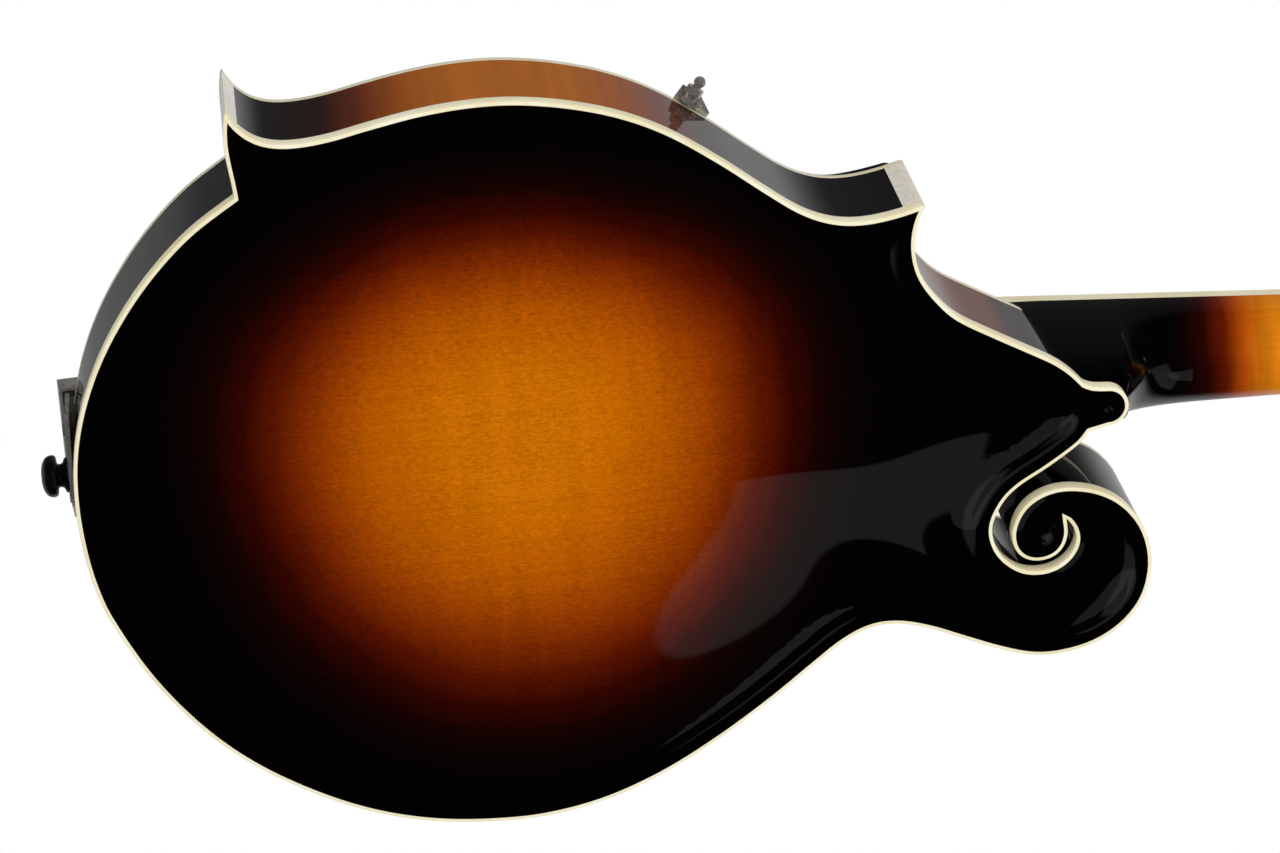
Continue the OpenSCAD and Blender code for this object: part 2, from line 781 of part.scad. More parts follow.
module tuner_plates() {
    color([0.75, 0.75, 0.77])
        head_frame() for (side = [-1, 1]) tuner_plate(side);
}

module post_bushings() {
    color([0.75, 0.75, 0.77])
        head_frame() for (i = [1:8]) difference() {
            union() {
                y_rod(post_at(i).x, post_at(i).z, 5.6, -1, 0);
                y_rod(post_at(i).x, post_at(i).z, 4.45, -0.5, 8);
            }
            y_rod(post_at(i).x, post_at(i).z, post_r + 0.12, -2, 9);
        }
}

module gear_tooth(a) {
    rotate(a) polygon([
        [gear_root_r - 0.5, -0.66], [gear_root_r, -0.62], [gear_r, -0.34],
        [gear_r, 0.34], [gear_root_r, 0.62], [gear_root_r - 0.5, 0.66]
    ]);
}

// String post with its worm gear and gear screw; one tooth points at the worm
module post(i) {
    color([0.78, 0.7, 0.5])
        head_frame() difference() {
            union() {
                y_rod(post_at(i).x, post_at(i).z, post_r, -14, worm_y + gear_t / 2);
                y_rod(post_at(i).x, post_at(i).z, 4.2, head_back + plate_t + 0.2, worm_y - gear_t / 2 + 0.1);
                y_rod(post_at(i).x, post_at(i).z, 2.6, worm_y + gear_t / 2 - 0.1, worm_y + gear_t / 2 + 1.4);
                translate([post_at(i).x, 0, post_at(i).z]) slab(worm_y - gear_t / 2, worm_y + gear_t / 2)
                    offset(delta = 0) union() {
                        circle(r = gear_root_r, $fn = 64);
                        for (t = [1:gear_teeth]) gear_tooth(-90 + t * 360 / gear_teeth);
                    }
            }
            translate([post_at(i).x, -9, post_at(i).z]) rotate([0, 90, 0])
                cylinder(r = 0.9, h = 20, center = true, $fn = 24);
            translate([post_at(i).x - 4, worm_y + gear_t / 2 + 0.8, post_at(i).z - 0.3]) cube([8, 1, 0.6]);
        }
}

// Thread of three turns round the X axis, swept as a trapezoid
module worm_thread() {
    steps = 36;
    turn = 30;
    inner_r = 2.1;
    profile = [[-0.5, inner_r], [-0.27, worm_r], [0.27, worm_r], [0.5, inner_r]];
    rings = [for (s = [0:steps], q = profile)
        let (t = s * turn) [(s / 12 - 1.5) * worm_pitch + q.x, -q.y * sin(t), q.y * cos(t)]];
    sides = [for (s = [0:steps - 1], k = [0:3])
        let (a = 4 * s + k, b = 4 * s + (k + 1) % 4) each [[a, b, b + 4], [a, b + 4, a + 4]]];
    polyhedron(points = rings, faces = concat(sides, [[3, 2, 1, 0]], [[for (k = [0:3]) 4 * steps + k]]));
}

module worm(i) {
    side = post_side(i);
    color([0.75, 0.75, 0.77])
        head_frame() translate([post_at(i).x, worm_y, post_at(i).z - worm_drop]) {
            worm_thread();
            rotate([0, 90, 0]) {
                cylinder(r = worm_core_r, h = 8.4, center = true, $fn = 32);
                translate([0, 0, side > 0 ? -6.8 : -19.5]) cylinder(r = 1.5, h = 26.3, $fn = 32);
            }
        }
}

module button(i) {
    side = post_side(i);
    color([0.93, 0.91, 0.84])
        head_frame() translate([post_at(i).x + side * 15, worm_y, post_at(i).z - worm_drop]) difference() {
            union() {
                slab(-2.8, 2.8) hull() {
                    translate([side * 6, -2.6]) circle(r = 4.6, $fn = 40);
                    translate([side * 6, 2.6]) circle(r = 4.6, $fn = 40);
                    translate([side * 11, -1.5]) circle(r = 4.2, $fn = 40);
                    translate([side * 11, 1.5]) circle(r = 4.2, $fn = 40);
                }
                rotate([0, 90, 0]) translate([0, 0, side > 0 ? 0 : -4]) cylinder(r = 2.4, h = 4, $fn = 32);
            }
            rotate([0, 90, 0]) cylinder(r = 1.55, h = 9.4, center = true, $fn = 32);
        }
}

// Each string runs from its hook over the saddle and the nut to the inner side of its post
module string(k) {
    i = string_post[k];
    r = string_r[k];
    hook = tail_pt([pair_x(k, 3, 10.2), -3.6, 51]);
    bridge = [pair_x(k, 3, 12.8), bridge_top_y + 0.35 - r, bridge_z];
    at_nut = neck_pt([pair_x(k, 1.8, 7.4), -1.05 - r, nut_t - 0.1]);
    at_post = head_pt([post_at(i).x - post_side(i) * (post_r + 0.4 + r), -5.5, post_at(i).z]);
    wire([hook, bridge, at_nut, at_post], r);
}

module strings() {
    color([0.8, 0.75, 0.65])
        for (k = [0:7]) string(k);
}

back_plate();
top_plate();
rib_scroll();
rib_tail();
rib_treble();
rib_upper();
body_blocks();
linings();
tone_bars();
back_binding();
top_binding();
point_protectors();
end_pin();
tailpiece_base();
tailpiece_cover();
tailpiece_screws();
pickguard();
pickguard_bracket();
bridge_base();
bridge_saddle();
bridge_studs();
thumbwheel_bass();
thumbwheel_treble();
neck();
truss_rod();
truss_nut();
truss_cover();
fretboard();
fretboard_binding();
frets();
fret_markers();
nut();
headstock_veneer();
tuner_plates();
post_bushings();
strings();
for (i = [1:8]) button(i);
for (i = [1:8]) worm(i);
for (i = [1:8]) post(i);
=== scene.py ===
"""A carved F-style mandolin in a dark sunburst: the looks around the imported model.

X points to the treble side, Y to the back and Z along the neck to the headstock. Lengths are in
millimetres, and Shape.make turns them into metres. Colours are sRGB, from 0 to 255.
"""
import math

import bmesh
import bpy
import numpy as np
from mathutils import Matrix, Vector, geometry


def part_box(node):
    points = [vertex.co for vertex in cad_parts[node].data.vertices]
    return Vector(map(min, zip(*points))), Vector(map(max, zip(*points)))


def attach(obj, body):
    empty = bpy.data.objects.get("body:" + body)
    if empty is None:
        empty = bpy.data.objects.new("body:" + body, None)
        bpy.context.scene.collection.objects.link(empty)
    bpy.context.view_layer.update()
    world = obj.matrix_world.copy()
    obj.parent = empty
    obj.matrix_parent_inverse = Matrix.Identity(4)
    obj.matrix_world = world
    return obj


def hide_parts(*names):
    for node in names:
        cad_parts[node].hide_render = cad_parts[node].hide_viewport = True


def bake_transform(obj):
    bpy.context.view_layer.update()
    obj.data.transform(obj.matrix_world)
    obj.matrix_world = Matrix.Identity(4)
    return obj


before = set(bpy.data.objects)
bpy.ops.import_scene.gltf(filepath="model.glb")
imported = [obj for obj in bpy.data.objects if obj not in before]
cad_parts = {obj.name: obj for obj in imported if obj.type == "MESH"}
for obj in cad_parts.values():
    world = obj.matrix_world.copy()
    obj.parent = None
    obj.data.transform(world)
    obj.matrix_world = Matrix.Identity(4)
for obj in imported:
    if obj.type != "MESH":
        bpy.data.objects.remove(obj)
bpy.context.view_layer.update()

MM = 0.001

# ---------------------------------------------------------------- sizes, as the CAD model has them

BACK_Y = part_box("back_binding")[1].y / MM
FRONT_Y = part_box("top_binding")[0].y / MM
RIB_BACK_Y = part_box("rib_treble")[1].y / MM
RIB_FRONT_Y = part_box("rib_treble")[0].y / MM
BODY_LENGTH = 352
ARCH = 14
ARCH_X, ARCH_Z = -4, 148
ARCH_HALF_W, ARCH_TAIL, ARCH_NECK = 118, 142, 185
BACK_REACH = 88
RIB_T = 2.5
BINDING_W = 1.3
BACK_T, TOP_T = 5, 3.4

SCALE_LENGTH = 352
NUT_WIDTH, JOINT_WIDTH = 28.6, 40
NECK_PITCH, HEAD_ANGLE, TAIL_ANGLE = 5.7, 15, -5.8
BOARD_T = 5
BOARD_END = 268
FRETS = 22
NUT_T = 4
HEAD_DROP = 4
VENEER_T = 2
HEAD_BACK = 15
POST_X, FIRST_POST_Z, POST_PITCH = 24, 32, 23
POST_R = 3
WORM_DROP = 8.45
WORM_Y = HEAD_BACK + 4.8


def fret_at(number):
    return SCALE_LENGTH * (1 - 2 ** (-number / 12))


def board_half(distance):
    return (NUT_WIDTH + (JOINT_WIDTH - NUT_WIDTH) * distance / fret_at(15)) / 2


NUT_Z = BODY_LENGTH - 11 + fret_at(15) * math.cos(math.radians(NECK_PITCH))
NUT_Y = FRONT_Y - 7.6 + fret_at(15) * math.sin(math.radians(NECK_PITCH))
BRIDGE_Z = NUT_Z - (SCALE_LENGTH + 1) * math.cos(math.radians(NECK_PITCH))
BRIDGE_TOP_Y = NUT_Y - (SCALE_LENGTH + 1) * math.sin(math.radians(NECK_PITCH)) - 5.6

# Outline of the body as (x, z), counter-clockwise seen from the front
LOWER_POINT = [(100.5, 61), (105, 60.6), (111, 59.8), (117, 59.2), (123, 59.3), (129.5, 60.3)]
TREBLE_SIDE = [
    (129.5, 60.8), (126, 62.6), (122, 66), (118.5, 71.5), (117, 80), (118, 92), (121, 106),
    (124, 122), (125.5, 138), (125.2, 153), (122.5, 170), (117.5, 187), (110, 202.5),
    (99, 218.5), (88, 232.5), (79.5, 244), (75, 254), (73.7, 264), (75, 275), (77.5, 284.5),
]
UPPER_SIDE = [
    (77, 285), (73, 283), (67, 281.4), (61, 281.2), (55, 282.2), (49.5, 284.6), (43.5, 288.8),
    (37, 295), (30, 306.5), (23.5, 318), (18, 327.5), (13.5, 333), (9, 337),
]
BUTTON_SIDE = [(9, 337), (7.5, 339.5), (7, 345)]
BUTTON_R = 7
SLOT_OUTSIDE = [
    (-8.5, 338.5), (-13, 334.6), (-20, 324.5), (-26, 314.5), (-31.5, 308.8), (-39.5, 305),
    (-46.5, 305.5), (-52.5, 308.8), (-57, 314.5), (-58.3, 320.5), (-57.3, 326), (-54, 330.7),
    (-49, 333.4), (-44, 333), (-40, 330.5),
]
SCROLL_AND_BASS = [
    (-40, 330.2), (-44, 330.8), (-48.5, 330), (-52.5, 327.3), (-54.5, 322.5), (-54, 317),
    (-50.5, 312.8), (-44.5, 311.3), (-38.5, 312.8), (-33.5, 316), (-29.8, 321.5), (-28.2, 328),
    (-28.7, 335), (-31, 342.5), (-36, 350), (-44.5, 356.3), (-55, 359.3), (-65, 358.8),
    (-74, 355.5), (-82, 348.5), (-87.5, 339), (-90, 328), (-89.8, 318), (-86.5, 307),
    (-81, 294), (-76, 282.5), (-73, 271.5), (-73.5, 262), (-78, 252.5), (-85.5, 242.5),
    (-97.5, 227), (-109.5, 209.5), (-120.5, 190.5), (-128.5, 171), (-132.5, 153), (-133.5, 136),
    (-131.5, 112.5), (-125.5, 90), (-115.5, 69), (-102, 49), (-86, 32.7), (-66.5, 18.6),
    (-45, 7.7), (-31, 3.2), (-16, 0.8), (0, 0), (16, 1.3), (32, 5.3), (48, 12), (63, 21),
    (77, 32), (90, 45.5), (100.5, 61),
]
POINT_TIPS = [(129.5, 60.5), (77.5, 284.7)]

F_HOLE_LINE = [
    (67, 149), (60, 146), (54.5, 152), (53.5, 166), (56, 182), (57.5, 196), (55, 212),
    (47.5, 221), (40, 217),
]

# Outline of the headstock as (x, z) in its own frame
HEAD_SIDES = [
    (14.3, 0), (16, 6), (22, 13), (31, 18), (36, 25), (36.5, 36), (36.5, 60), (37.5, 90),
    (39.5, 110), (43, 124), (47, 133),
]
HEAD_CROWN = [
    (47, 134), (41, 132), (34, 133), (27, 137), (20, 143), (11, 148), (2, 150), (-7, 149),
    (-15, 145), (-20, 139.5),
]
HEAD_SCROLL = [
    (-20, 139.5), (-25, 136), (-30, 137), (-35, 141), (-42, 141.5), (-48, 138), (-50, 131.5),
    (-47.5, 124), (-43, 116), (-39.5, 105), (-37.5, 90), (-36.5, 60), (-36.5, 36), (-36, 25),
    (-31, 18), (-22, 13), (-16, 6), (-14.3, 0),
]

# Outline of the pickguard as (x, z) in the neck's frame
GUARD_SIDE = [
    (24, -338), (34, -341.5), (48, -342.5), (62, -341.5), (74, -338.5), (82, -333), (85, -326),
    (83, -317.5), (78, -308), (73.4, -299), (70.4, -291), (69.3, -284), (70.3, -275), (72.6, -264.5),
]
GUARD_NECK = [
    (72.6, -264.5), (71.5, -262.6), (66, -264.5), (58, -265.5), (50, -263), (42, -257.5),
    (33, -251.5), (23, -247),
]

STRING_RADII = [0.51, 0.51, 0.33, 0.33, 0.19, 0.19, 0.14, 0.14]
STRING_POSTS = [5, 6, 7, 8, 4, 3, 2, 1]

# Gap between the two strings of a pair, and from pair to pair
AT_HOOKS, AT_SADDLE, AT_NUT = (3, 10.2), (3, 12.8), (1.8, 7.4)


# ---------------------------------------------------------------- frames

def tilted(points, angle, origin):
    """Points of a frame that is turned about X and has its origin at (y, z)."""
    p = np.asarray(points, float)
    c, s = math.cos(math.radians(angle)), math.sin(math.radians(angle))
    y = origin[0] + p[..., 1] * c + p[..., 2] * s
    z = origin[1] - p[..., 1] * s + p[..., 2] * c
    return np.stack([p[..., 0], y, z], axis=-1)


def in_body(points):
    return np.asarray(points, float)


def in_neck(points):
    return tilted(points, NECK_PITCH, (NUT_Y, NUT_Z))


def in_head(points):
    return in_neck(tilted(points, HEAD_ANGLE, (HEAD_DROP, NUT_T)))


def in_tail(points):
    return tilted(points, TAIL_ANGLE, (FRONT_Y - 5, -0.9))


def post_side(number):
    return 1 if number <= 4 else -1


def post_place(number):
    return post_side(number) * POST_X, FIRST_POST_Z + (number - 1) % 4 * POST_PITCH


def string_x(k, gap, spread):
    return (k // 2 - 1.5) * spread + (gap if k % 2 else -gap) / 2


# ---------------------------------------------------------------- outlines

def curve(points, steps=8):
    """A smooth curve through the points, ends included."""
    p = np.asarray(points, float)
    p = np.vstack([p[:1], p, p[-1:]])
    t = np.linspace(0, 1, steps, endpoint=False)[:, None]
    spans = [
        0.5 * (2 * b + (c - a) * t + (2 * a - 5 * b + 4 * c - d) * t**2
               + (3 * b - a - 3 * c + d) * t**3)
        for a, b, c, d in zip(p[:-3], p[1:-2], p[2:-1], p[3:])
    ]
    return np.vstack(spans + [p[-1:]])


def evenly(points, spacing):
    """The same line with points at even distances."""
    length = np.r_[0, np.cumsum(np.linalg.norm(np.diff(points, axis=0), axis=1))]
    at = np.linspace(0, length[-1], max(2, round(length[-1] / spacing)) + 1)
    return np.stack([np.interp(at, length, points[:, i]) for i in range(points.shape[1])], axis=1)


def fair(points, spacing=0.8, passes=12):
    """An even curve through the points with its small unevenness smoothed out, without its last point."""
    line = evenly(curve(points), spacing)
    for _ in range(passes):
        line[1:-1] = line[1:-1] / 2 + (line[:-2] + line[2:]) / 4
    return line[:-1]


def body_outline(button):
    turn = np.radians(np.arange(0, 181, 6))
    end = np.stack([BUTTON_R * np.cos(turn), BODY_LENGTH - BUTTON_R + BUTTON_R * np.sin(turn)], axis=1)
    top = [fair(BUTTON_SIDE), end] if button else [[(9, 337)]]
    return np.vstack([fair(LOWER_POINT), fair(TREBLE_SIDE), fair(UPPER_SIDE)] + top
                     + [fair(SLOT_OUTSIDE, 0.6, 6), fair(SCROLL_AND_BASS)])


def gap_to(loop, points):
    """Distance from each point to a closed line."""
    a, b = loop, np.roll(loop, -1, axis=0)
    along = b - a
    size = np.maximum((along**2).sum(1), 1e-9)
    found = []
    for some in np.array_split(points, max(1, len(points) // 800)):
        t = ((some[:, None] - a) * along).sum(2) / size
        near = a + np.clip(t, 0, 1)[..., None] * along
        found.append(np.sqrt(((some[:, None] - near) ** 2).sum(2).min(1)))
    return np.concatenate(found)


def inside(loop, points):
    a, b = loop, np.roll(loop, -1, axis=0)
    found = []
    for some in np.array_split(points, max(1, len(points) // 2000)):
        x, z = some[:, 0, None], some[:, 1, None]
        crosses = (a[:, 1] > z) != (b[:, 1] > z)
        height = np.where(b[:, 1] == a[:, 1], 1, b[:, 1] - a[:, 1])
        found.append((crosses & (x < a[:, 0] + (z - a[:, 1]) * (b[:, 0] - a[:, 0]) / height)).sum(1) % 2 == 1)
    return np.concatenate(found)


def inset(loop, distance):
    """The loop moved inwards. Points that would cross over meet at their corner instead."""
    if distance == 0:
        return loop
    before, after = loop - np.roll(loop, 1, axis=0), np.roll(loop, -1, axis=0) - loop
    normals = []
    for edge in (before, after):
        unit = edge / np.maximum(np.linalg.norm(edge, axis=1), 1e-9)[:, None]
        normals.append(np.stack([-unit[:, 1], unit[:, 0]], axis=1))
    turn = 1 + (normals[0] * normals[1]).sum(1)
    moved = loop + distance * (normals[0] + normals[1]) / np.maximum(turn, 0.35)[:, None]
    bad = gap_to(loop, moved) < abs(distance) * 0.97
    if bad.all() or not bad.any():
        return moved
    first = int(np.argmin(bad))
    order = [(first + i) % len(loop) for i in range(len(loop))]
    run = []
    for i in order + [first]:
        if bad[i]:
            run.append(i)
        elif run:
            moved[run] = corner(moved, (run[0] - 1) % len(loop), i)
            run = []
    return moved


def corner(moved, left, right):
    """Where the lines on both sides of a gap meet, or the middle where they are parallel."""
    p, q = moved[left], moved[right]
    u = p - moved[left - 1]
    v = q - moved[(right + 1) % len(moved)]
    cross = u[0] * v[1] - u[1] * v[0]
    middle = (p + q) / 2
    if abs(cross) < 1e-6:
        return middle
    t = ((q - p)[0] * v[1] - (q - p)[1] * v[0]) / cross
    met = p + t * u
    return met if np.linalg.norm(met - middle) < 6 else middle


# ---------------------------------------------------------------- meshes

class Shape:
    """Points and faces of one piece, gathered from closed solids."""

    def __init__(self):
        self.points = np.zeros((0, 3))
        self.faces = []

    def add(self, points, faces):
        first = len(self.points)
        self.points = np.vstack([self.points, points])
        self.faces += [[first + i for i in face] for face in faces]
        return self

    def loft(self, rings, closed=False):
        """Quads between rings of equal length, with capped ends unless the last ring meets the first."""
        rings = np.asarray(rings, float)
        rows, count = rings.shape[:2]
        faces = []
        for r in range(rows if closed else rows - 1):
            a, b = r * count, (r + 1) % rows * count
            faces += [[a + i, a + (i + 1) % count, b + (i + 1) % count, b + i] for i in range(count)]
        if not closed:
            faces += [list(range(count)), list(range((rows - 1) * count, rows * count))]
        return self.add(rings.reshape(-1, 3), faces)

    def slab(self, loop, y0, y1, round0=0.3, round1=0.3, place=in_body, steps=4):
        """A flat outline from y0 to y1 with rounded edges."""
        loop = np.asarray(loop, float)
        arcs = [(round0 * (1 - math.sin(t)), y0 + round0 * (1 - math.cos(t)))
                for t in np.linspace(0, math.pi / 2, steps)]
        arcs += [(round1 * (1 - math.cos(t)), y1 - round1 * (1 - math.sin(t)))
                 for t in np.linspace(0, math.pi / 2, steps)]
        return self.loft([place(flat(inset(loop, d), y)) for d, y in arcs])

    def lathe(self, profile, place, steps=64):
        """A (radius, height) profile turned about the Z axis of its frame."""
        turn = np.linspace(0, 2 * math.pi, steps, endpoint=False)
        rings = [np.stack([r * np.cos(turn), r * np.sin(turn), np.full(steps, h)], axis=1)
                 for r, h in profile]
        return self.loft([place(ring) for ring in rings])

    def tube(self, path, radius, sides=12):
        """A round wire along a path; radius is a number or one for each point."""
        path = np.asarray(path, float)
        along = np.gradient(path, axis=0)
        along /= np.linalg.norm(along, axis=1)[:, None]
        side = np.cross(along[0], (0.3, 1, 0.2))
        turn = np.linspace(0, 2 * math.pi, sides, endpoint=False)[:, None]
        radii = np.broadcast_to(radius, len(path))
        rings = []
        for point, t, r in zip(path, along, radii):
            side = side - t * (side @ t)
            side /= np.linalg.norm(side)
            rings.append(point + r * (np.cos(turn) * side + np.sin(turn) * np.cross(t, side)))
        return self.loft(rings)

    def make(self, name, slot, body="root", replaces=(), sharp=35):
        mesh = bpy.data.meshes.new(name)
        mesh.from_pydata((self.points * MM).tolist(), [], self.faces)
        work = bmesh.new()
        work.from_mesh(mesh)
        bmesh.ops.remove_doubles(work, verts=work.verts, dist=3e-6)
        bmesh.ops.dissolve_degenerate(work, dist=1e-6, edges=work.edges)
        bmesh.ops.recalc_face_normals(work, faces=work.faces)
        work.to_mesh(mesh)
        work.free()
        mesh.shade_smooth()
        mesh.set_sharp_from_angle(angle=math.radians(sharp))
        piece = bpy.data.objects.new(name, mesh)
        bpy.context.scene.collection.objects.link(piece)
        mesh.materials.append(finishes[slot])
        if body:
            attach(piece, body)
        if replaces:
            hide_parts(*replaces)
        return piece


def flat(loop, y):
    return np.stack([loop[:, 0], np.full(len(loop), float(y)), loop[:, 1]], axis=1)


# ---------------------------------------------------------------- materials

def linear(colour):
    """An sRGB colour as the linear RGBA that sockets take."""
    parts = [c / 255 for c in colour]
    return tuple(p / 12.92 if p <= 0.04045 else ((p + 0.055) / 1.055) ** 2.4 for p in parts) + (1,)


class Graph:
    """A node tree built by short calls that return output sockets."""

    def __init__(self, tree):
        self.tree = tree

    def node(self, kind, **settings):
        made = self.tree.nodes.new(kind)
        for key, value in settings.items():
            setattr(made, key, value)
        return made

    def put(self, socket, value):
        if isinstance(value, bpy.types.NodeSocket):
            self.tree.links.new(value, socket)
        else:
            socket.default_value = value

    def math(self, operation, a, b=0.0, c=0.0):
        made = self.node("ShaderNodeMath", operation=operation)
        for socket, value in zip(made.inputs, (a, b, c)):
            self.put(socket, value)
        return made.outputs[0]

    def step(self, value, low, high, to_low=0.0, to_high=1.0):
        """A smooth step as the value goes from low to high."""
        made = self.node("ShaderNodeMapRange", interpolation_type="SMOOTHSTEP")
        for socket, number in zip(made.inputs, (value, low, high, to_low, to_high)):
            self.put(socket, number)
        return made.outputs[0]

    def place(self):
        return self.node("ShaderNodeTexCoord").outputs["Object"]

    def xyz(self, vector):
        made = self.node("ShaderNodeSeparateXYZ")
        self.put(made.inputs[0], vector)
        return made.outputs

    def scaled(self, scale, turn=(0, 0, 0)):
        """Object coordinates, turned by degrees and then scaled along each axis, per metre."""
        made = self.node("ShaderNodeMapping")
        self.put(made.inputs["Vector"], self.place())
        made.inputs["Scale"].default_value = scale
        made.inputs["Rotation"].default_value = [math.radians(t) for t in turn]
        return made.outputs[0]

    def noise(self, vector, scale=1.0, detail=2.0, roughness=0.5, distortion=0.0):
        made = self.node("ShaderNodeTexNoise")
        self.put(made.inputs["Vector"], vector)
        for key, value in (("Scale", scale), ("Detail", detail), ("Roughness", roughness),
                           ("Distortion", distortion)):
            made.inputs[key].default_value = value
        return made.outputs["Fac"]

    def ramp(self, factor, stops):
        """Colours at positions, as (position, colour) pairs."""
        made = self.node("ShaderNodeValToRGB")
        elements = made.color_ramp.elements
        while len(elements) < len(stops):
            elements.new(0.5)
        for element, (position, colour) in zip(elements, stops):
            element.position = position
            element.color = linear(colour)
        self.put(made.inputs[0], factor)
        return made.outputs[0]

    def mix(self, factor, a, b, blend="MIX"):
        made = self.node("ShaderNodeMix", data_type="RGBA", blend_type=blend)
        self.put(made.inputs[0], factor)
        self.put(made.inputs[6], a)
        self.put(made.inputs[7], b)
        return made.outputs[2]

    def dim(self, colour, factor):
        """A colour multiplied by a grey factor."""
        made = self.node("ShaderNodeVectorMath", operation="SCALE")
        self.put(made.inputs[0], colour)
        self.put(made.inputs["Scale"], factor)
        return made.outputs[0]

    def bump(self, height, distance, strength=1.0):
        made = self.node("ShaderNodeBump")
        made.inputs["Strength"].default_value = strength
        made.inputs["Distance"].default_value = distance
        self.put(made.inputs["Height"], height)
        return made.outputs[0]


def finish(name, colour=(128, 128, 128), **settings):
    """A Principled material, as its graph and shader; settings name the shader's sockets."""
    material = bpy.data.materials.new(name)
    material.use_nodes = True
    shader = material.node_tree.nodes["Principled BSDF"]
    shader.inputs["Base Color"].default_value = linear(colour)
    for key, value in settings.items():
        shader.inputs[key.replace("_", " ").title().replace("Ior", "IOR")].default_value = value
    material.diffuse_color = linear(colour)
    return material, Graph(material.node_tree), shader


def lacquer(name):
    """Wood under clear gloss lacquer."""
    return finish(name, roughness=0.5, specular_ior_level=0.0, coat_weight=1.0, coat_roughness=0.02,
                  coat_ior=1.5)


BURST = [
    (0.0, (187, 102, 3)), (0.18, (186, 100, 3)), (0.26, (180, 94, 2)), (0.34, (173, 86, 2)),
    (0.42, (162, 76, 2)), (0.5, (143, 59, 2)), (0.58, (115, 39, 2)), (0.66, (81, 19, 1)),
    (0.74, (47, 6, 1)), (0.82, (21, 3, 2)), (0.9, (7, 3, 2)), (1.0, (3, 2, 2)),
]
BURST_REACH = 1.25


def burst(g, x, z, centre, treble_radius, bass_radius, z_radius):
    """Colour of a sunburst by the distance from its centre, as a share of its radii."""
    across = g.math("SUBTRACT", x, centre[0] * MM)
    u = g.math("MAXIMUM", g.math("DIVIDE", across, treble_radius * MM),
               g.math("DIVIDE", across, -bass_radius * MM))
    v = g.math("DIVIDE", g.math("SUBTRACT", z, centre[1] * MM), z_radius * MM)
    rho = g.math("SQRT", g.math("ADD", g.math("MULTIPLY", u, u), g.math("MULTIPLY", v, v)))
    drift = g.noise(g.scaled((14, 0, 14)), detail=2)
    rho = g.math("ADD", rho, g.math("MULTIPLY_ADD", drift, 0.1, -0.05))
    return rho, g.ramp(g.math("DIVIDE", rho, BURST_REACH), BURST)


def flame(g, along, across, turn, strength):
    """Figured maple: faint uneven stripes under a fine curl of short strokes along the grain."""
    stripes = g.noise(g.scaled((along, 1, across), turn), detail=3, roughness=0.55, distortion=0.5)
    stripes = g.step(stripes, 0.36, 0.62)
    patches = g.step(g.noise(g.scaled((9, 1, 16))), 0.35, 0.7, 0.35, 1)
    strokes = g.noise(g.scaled((1700, 1, 420), turn), detail=2, distortion=0.5)
    curl = g.noise(g.scaled((950, 1, 800), turn), detail=2, distortion=1.2)
    lines = g.noise(g.scaled((620, 1, 12), (0, -3, 0)), detail=2)
    shade = g.math("MULTIPLY", stripes, g.math("MULTIPLY", patches, strength))
    for layer, weight in ((strokes, 0.9), (curl, 0.6), (lines, 0.3)):
        shade = g.math("ADD", shade, g.math("MULTIPLY_ADD", layer, weight, -weight / 2))
    return g.math("SUBTRACT", 1 + strength / 3, shade)


def make_maple_back():
    material, g, shader = lacquer("maple_back")
    x, y, z = g.xyz(g.place())
    rho, colour = burst(g, x, z, (19, 147), 76, 114, 98)
    figure = flame(g, 11, 95, (0, 3, 0), 0.14)
    g.put(shader.inputs["Base Color"], g.dim(colour, figure))
    return material


def make_maple_rib():
    material, g, shader = lacquer("maple_rib")
    x, y, z = g.xyz(g.place())
    middle = g.step(g.math("ABSOLUTE", g.math("SUBTRACT", z, 0.153)), 0.015, 0.085, 1, 0)
    shoulder = g.step(g.math("ABSOLUTE", g.math("SUBTRACT", z, 0.299)), 0.008, 0.024, 0.5, 0)
    shoulder = g.math("MULTIPLY", shoulder, g.step(x, 0.0, 0.03))
    warm = g.math("MAXIMUM", middle, shoulder)
    colour = g.ramp(warm, [
        (0, (4, 3, 3)), (0.25, (32, 8, 3)), (0.5, (92, 34, 8)), (0.8, (150, 76, 16)), (1, (172, 96, 24)),
    ])
    stripes = g.noise(g.scaled((150, 9, 190)), detail=3, distortion=0.4)
    grain = g.noise(g.scaled((30, 900, 30)), detail=1)
    shade = g.math("ADD", g.math("MULTIPLY", stripes, 0.5), g.math("MULTIPLY", grain, 0.2))
    g.put(shader.inputs["Base Color"], g.dim(colour, g.math("SUBTRACT", 1.3, shade)))
    return material


def make_maple_neck():
    material, g, shader = lacquer("maple_neck")
    x, y, z = g.xyz(g.place())
    drift = g.math("MULTIPLY_ADD", g.noise(g.scaled((20, 20, 12))), 0.016, -0.008)
    at = g.math("ADD", z, drift)
    warm = g.math("MULTIPLY", g.step(at, 0.373, 0.418), g.step(at, 0.478, 0.525, 1, 0))
    colour = g.ramp(warm, [
        (0, (4, 3, 3)), (0.2, (38, 6, 2)), (0.4, (96, 24, 4)), (0.6, (160, 66, 8)),
        (0.85, (206, 116, 16)), (1, (216, 128, 22)),
    ])
    stripes = g.step(g.noise(g.scaled((22, 22, 170)), detail=3, distortion=0.4), 0.38, 0.62, 0, 0.2)
    lines = g.noise(g.scaled((700, 700, 10)), detail=2)
    shade = g.math("ADD", stripes, g.math("MULTIPLY", lines, 0.3))
    g.put(shader.inputs["Base Color"], g.dim(colour, g.math("SUBTRACT", 1.15, shade)))
    return material


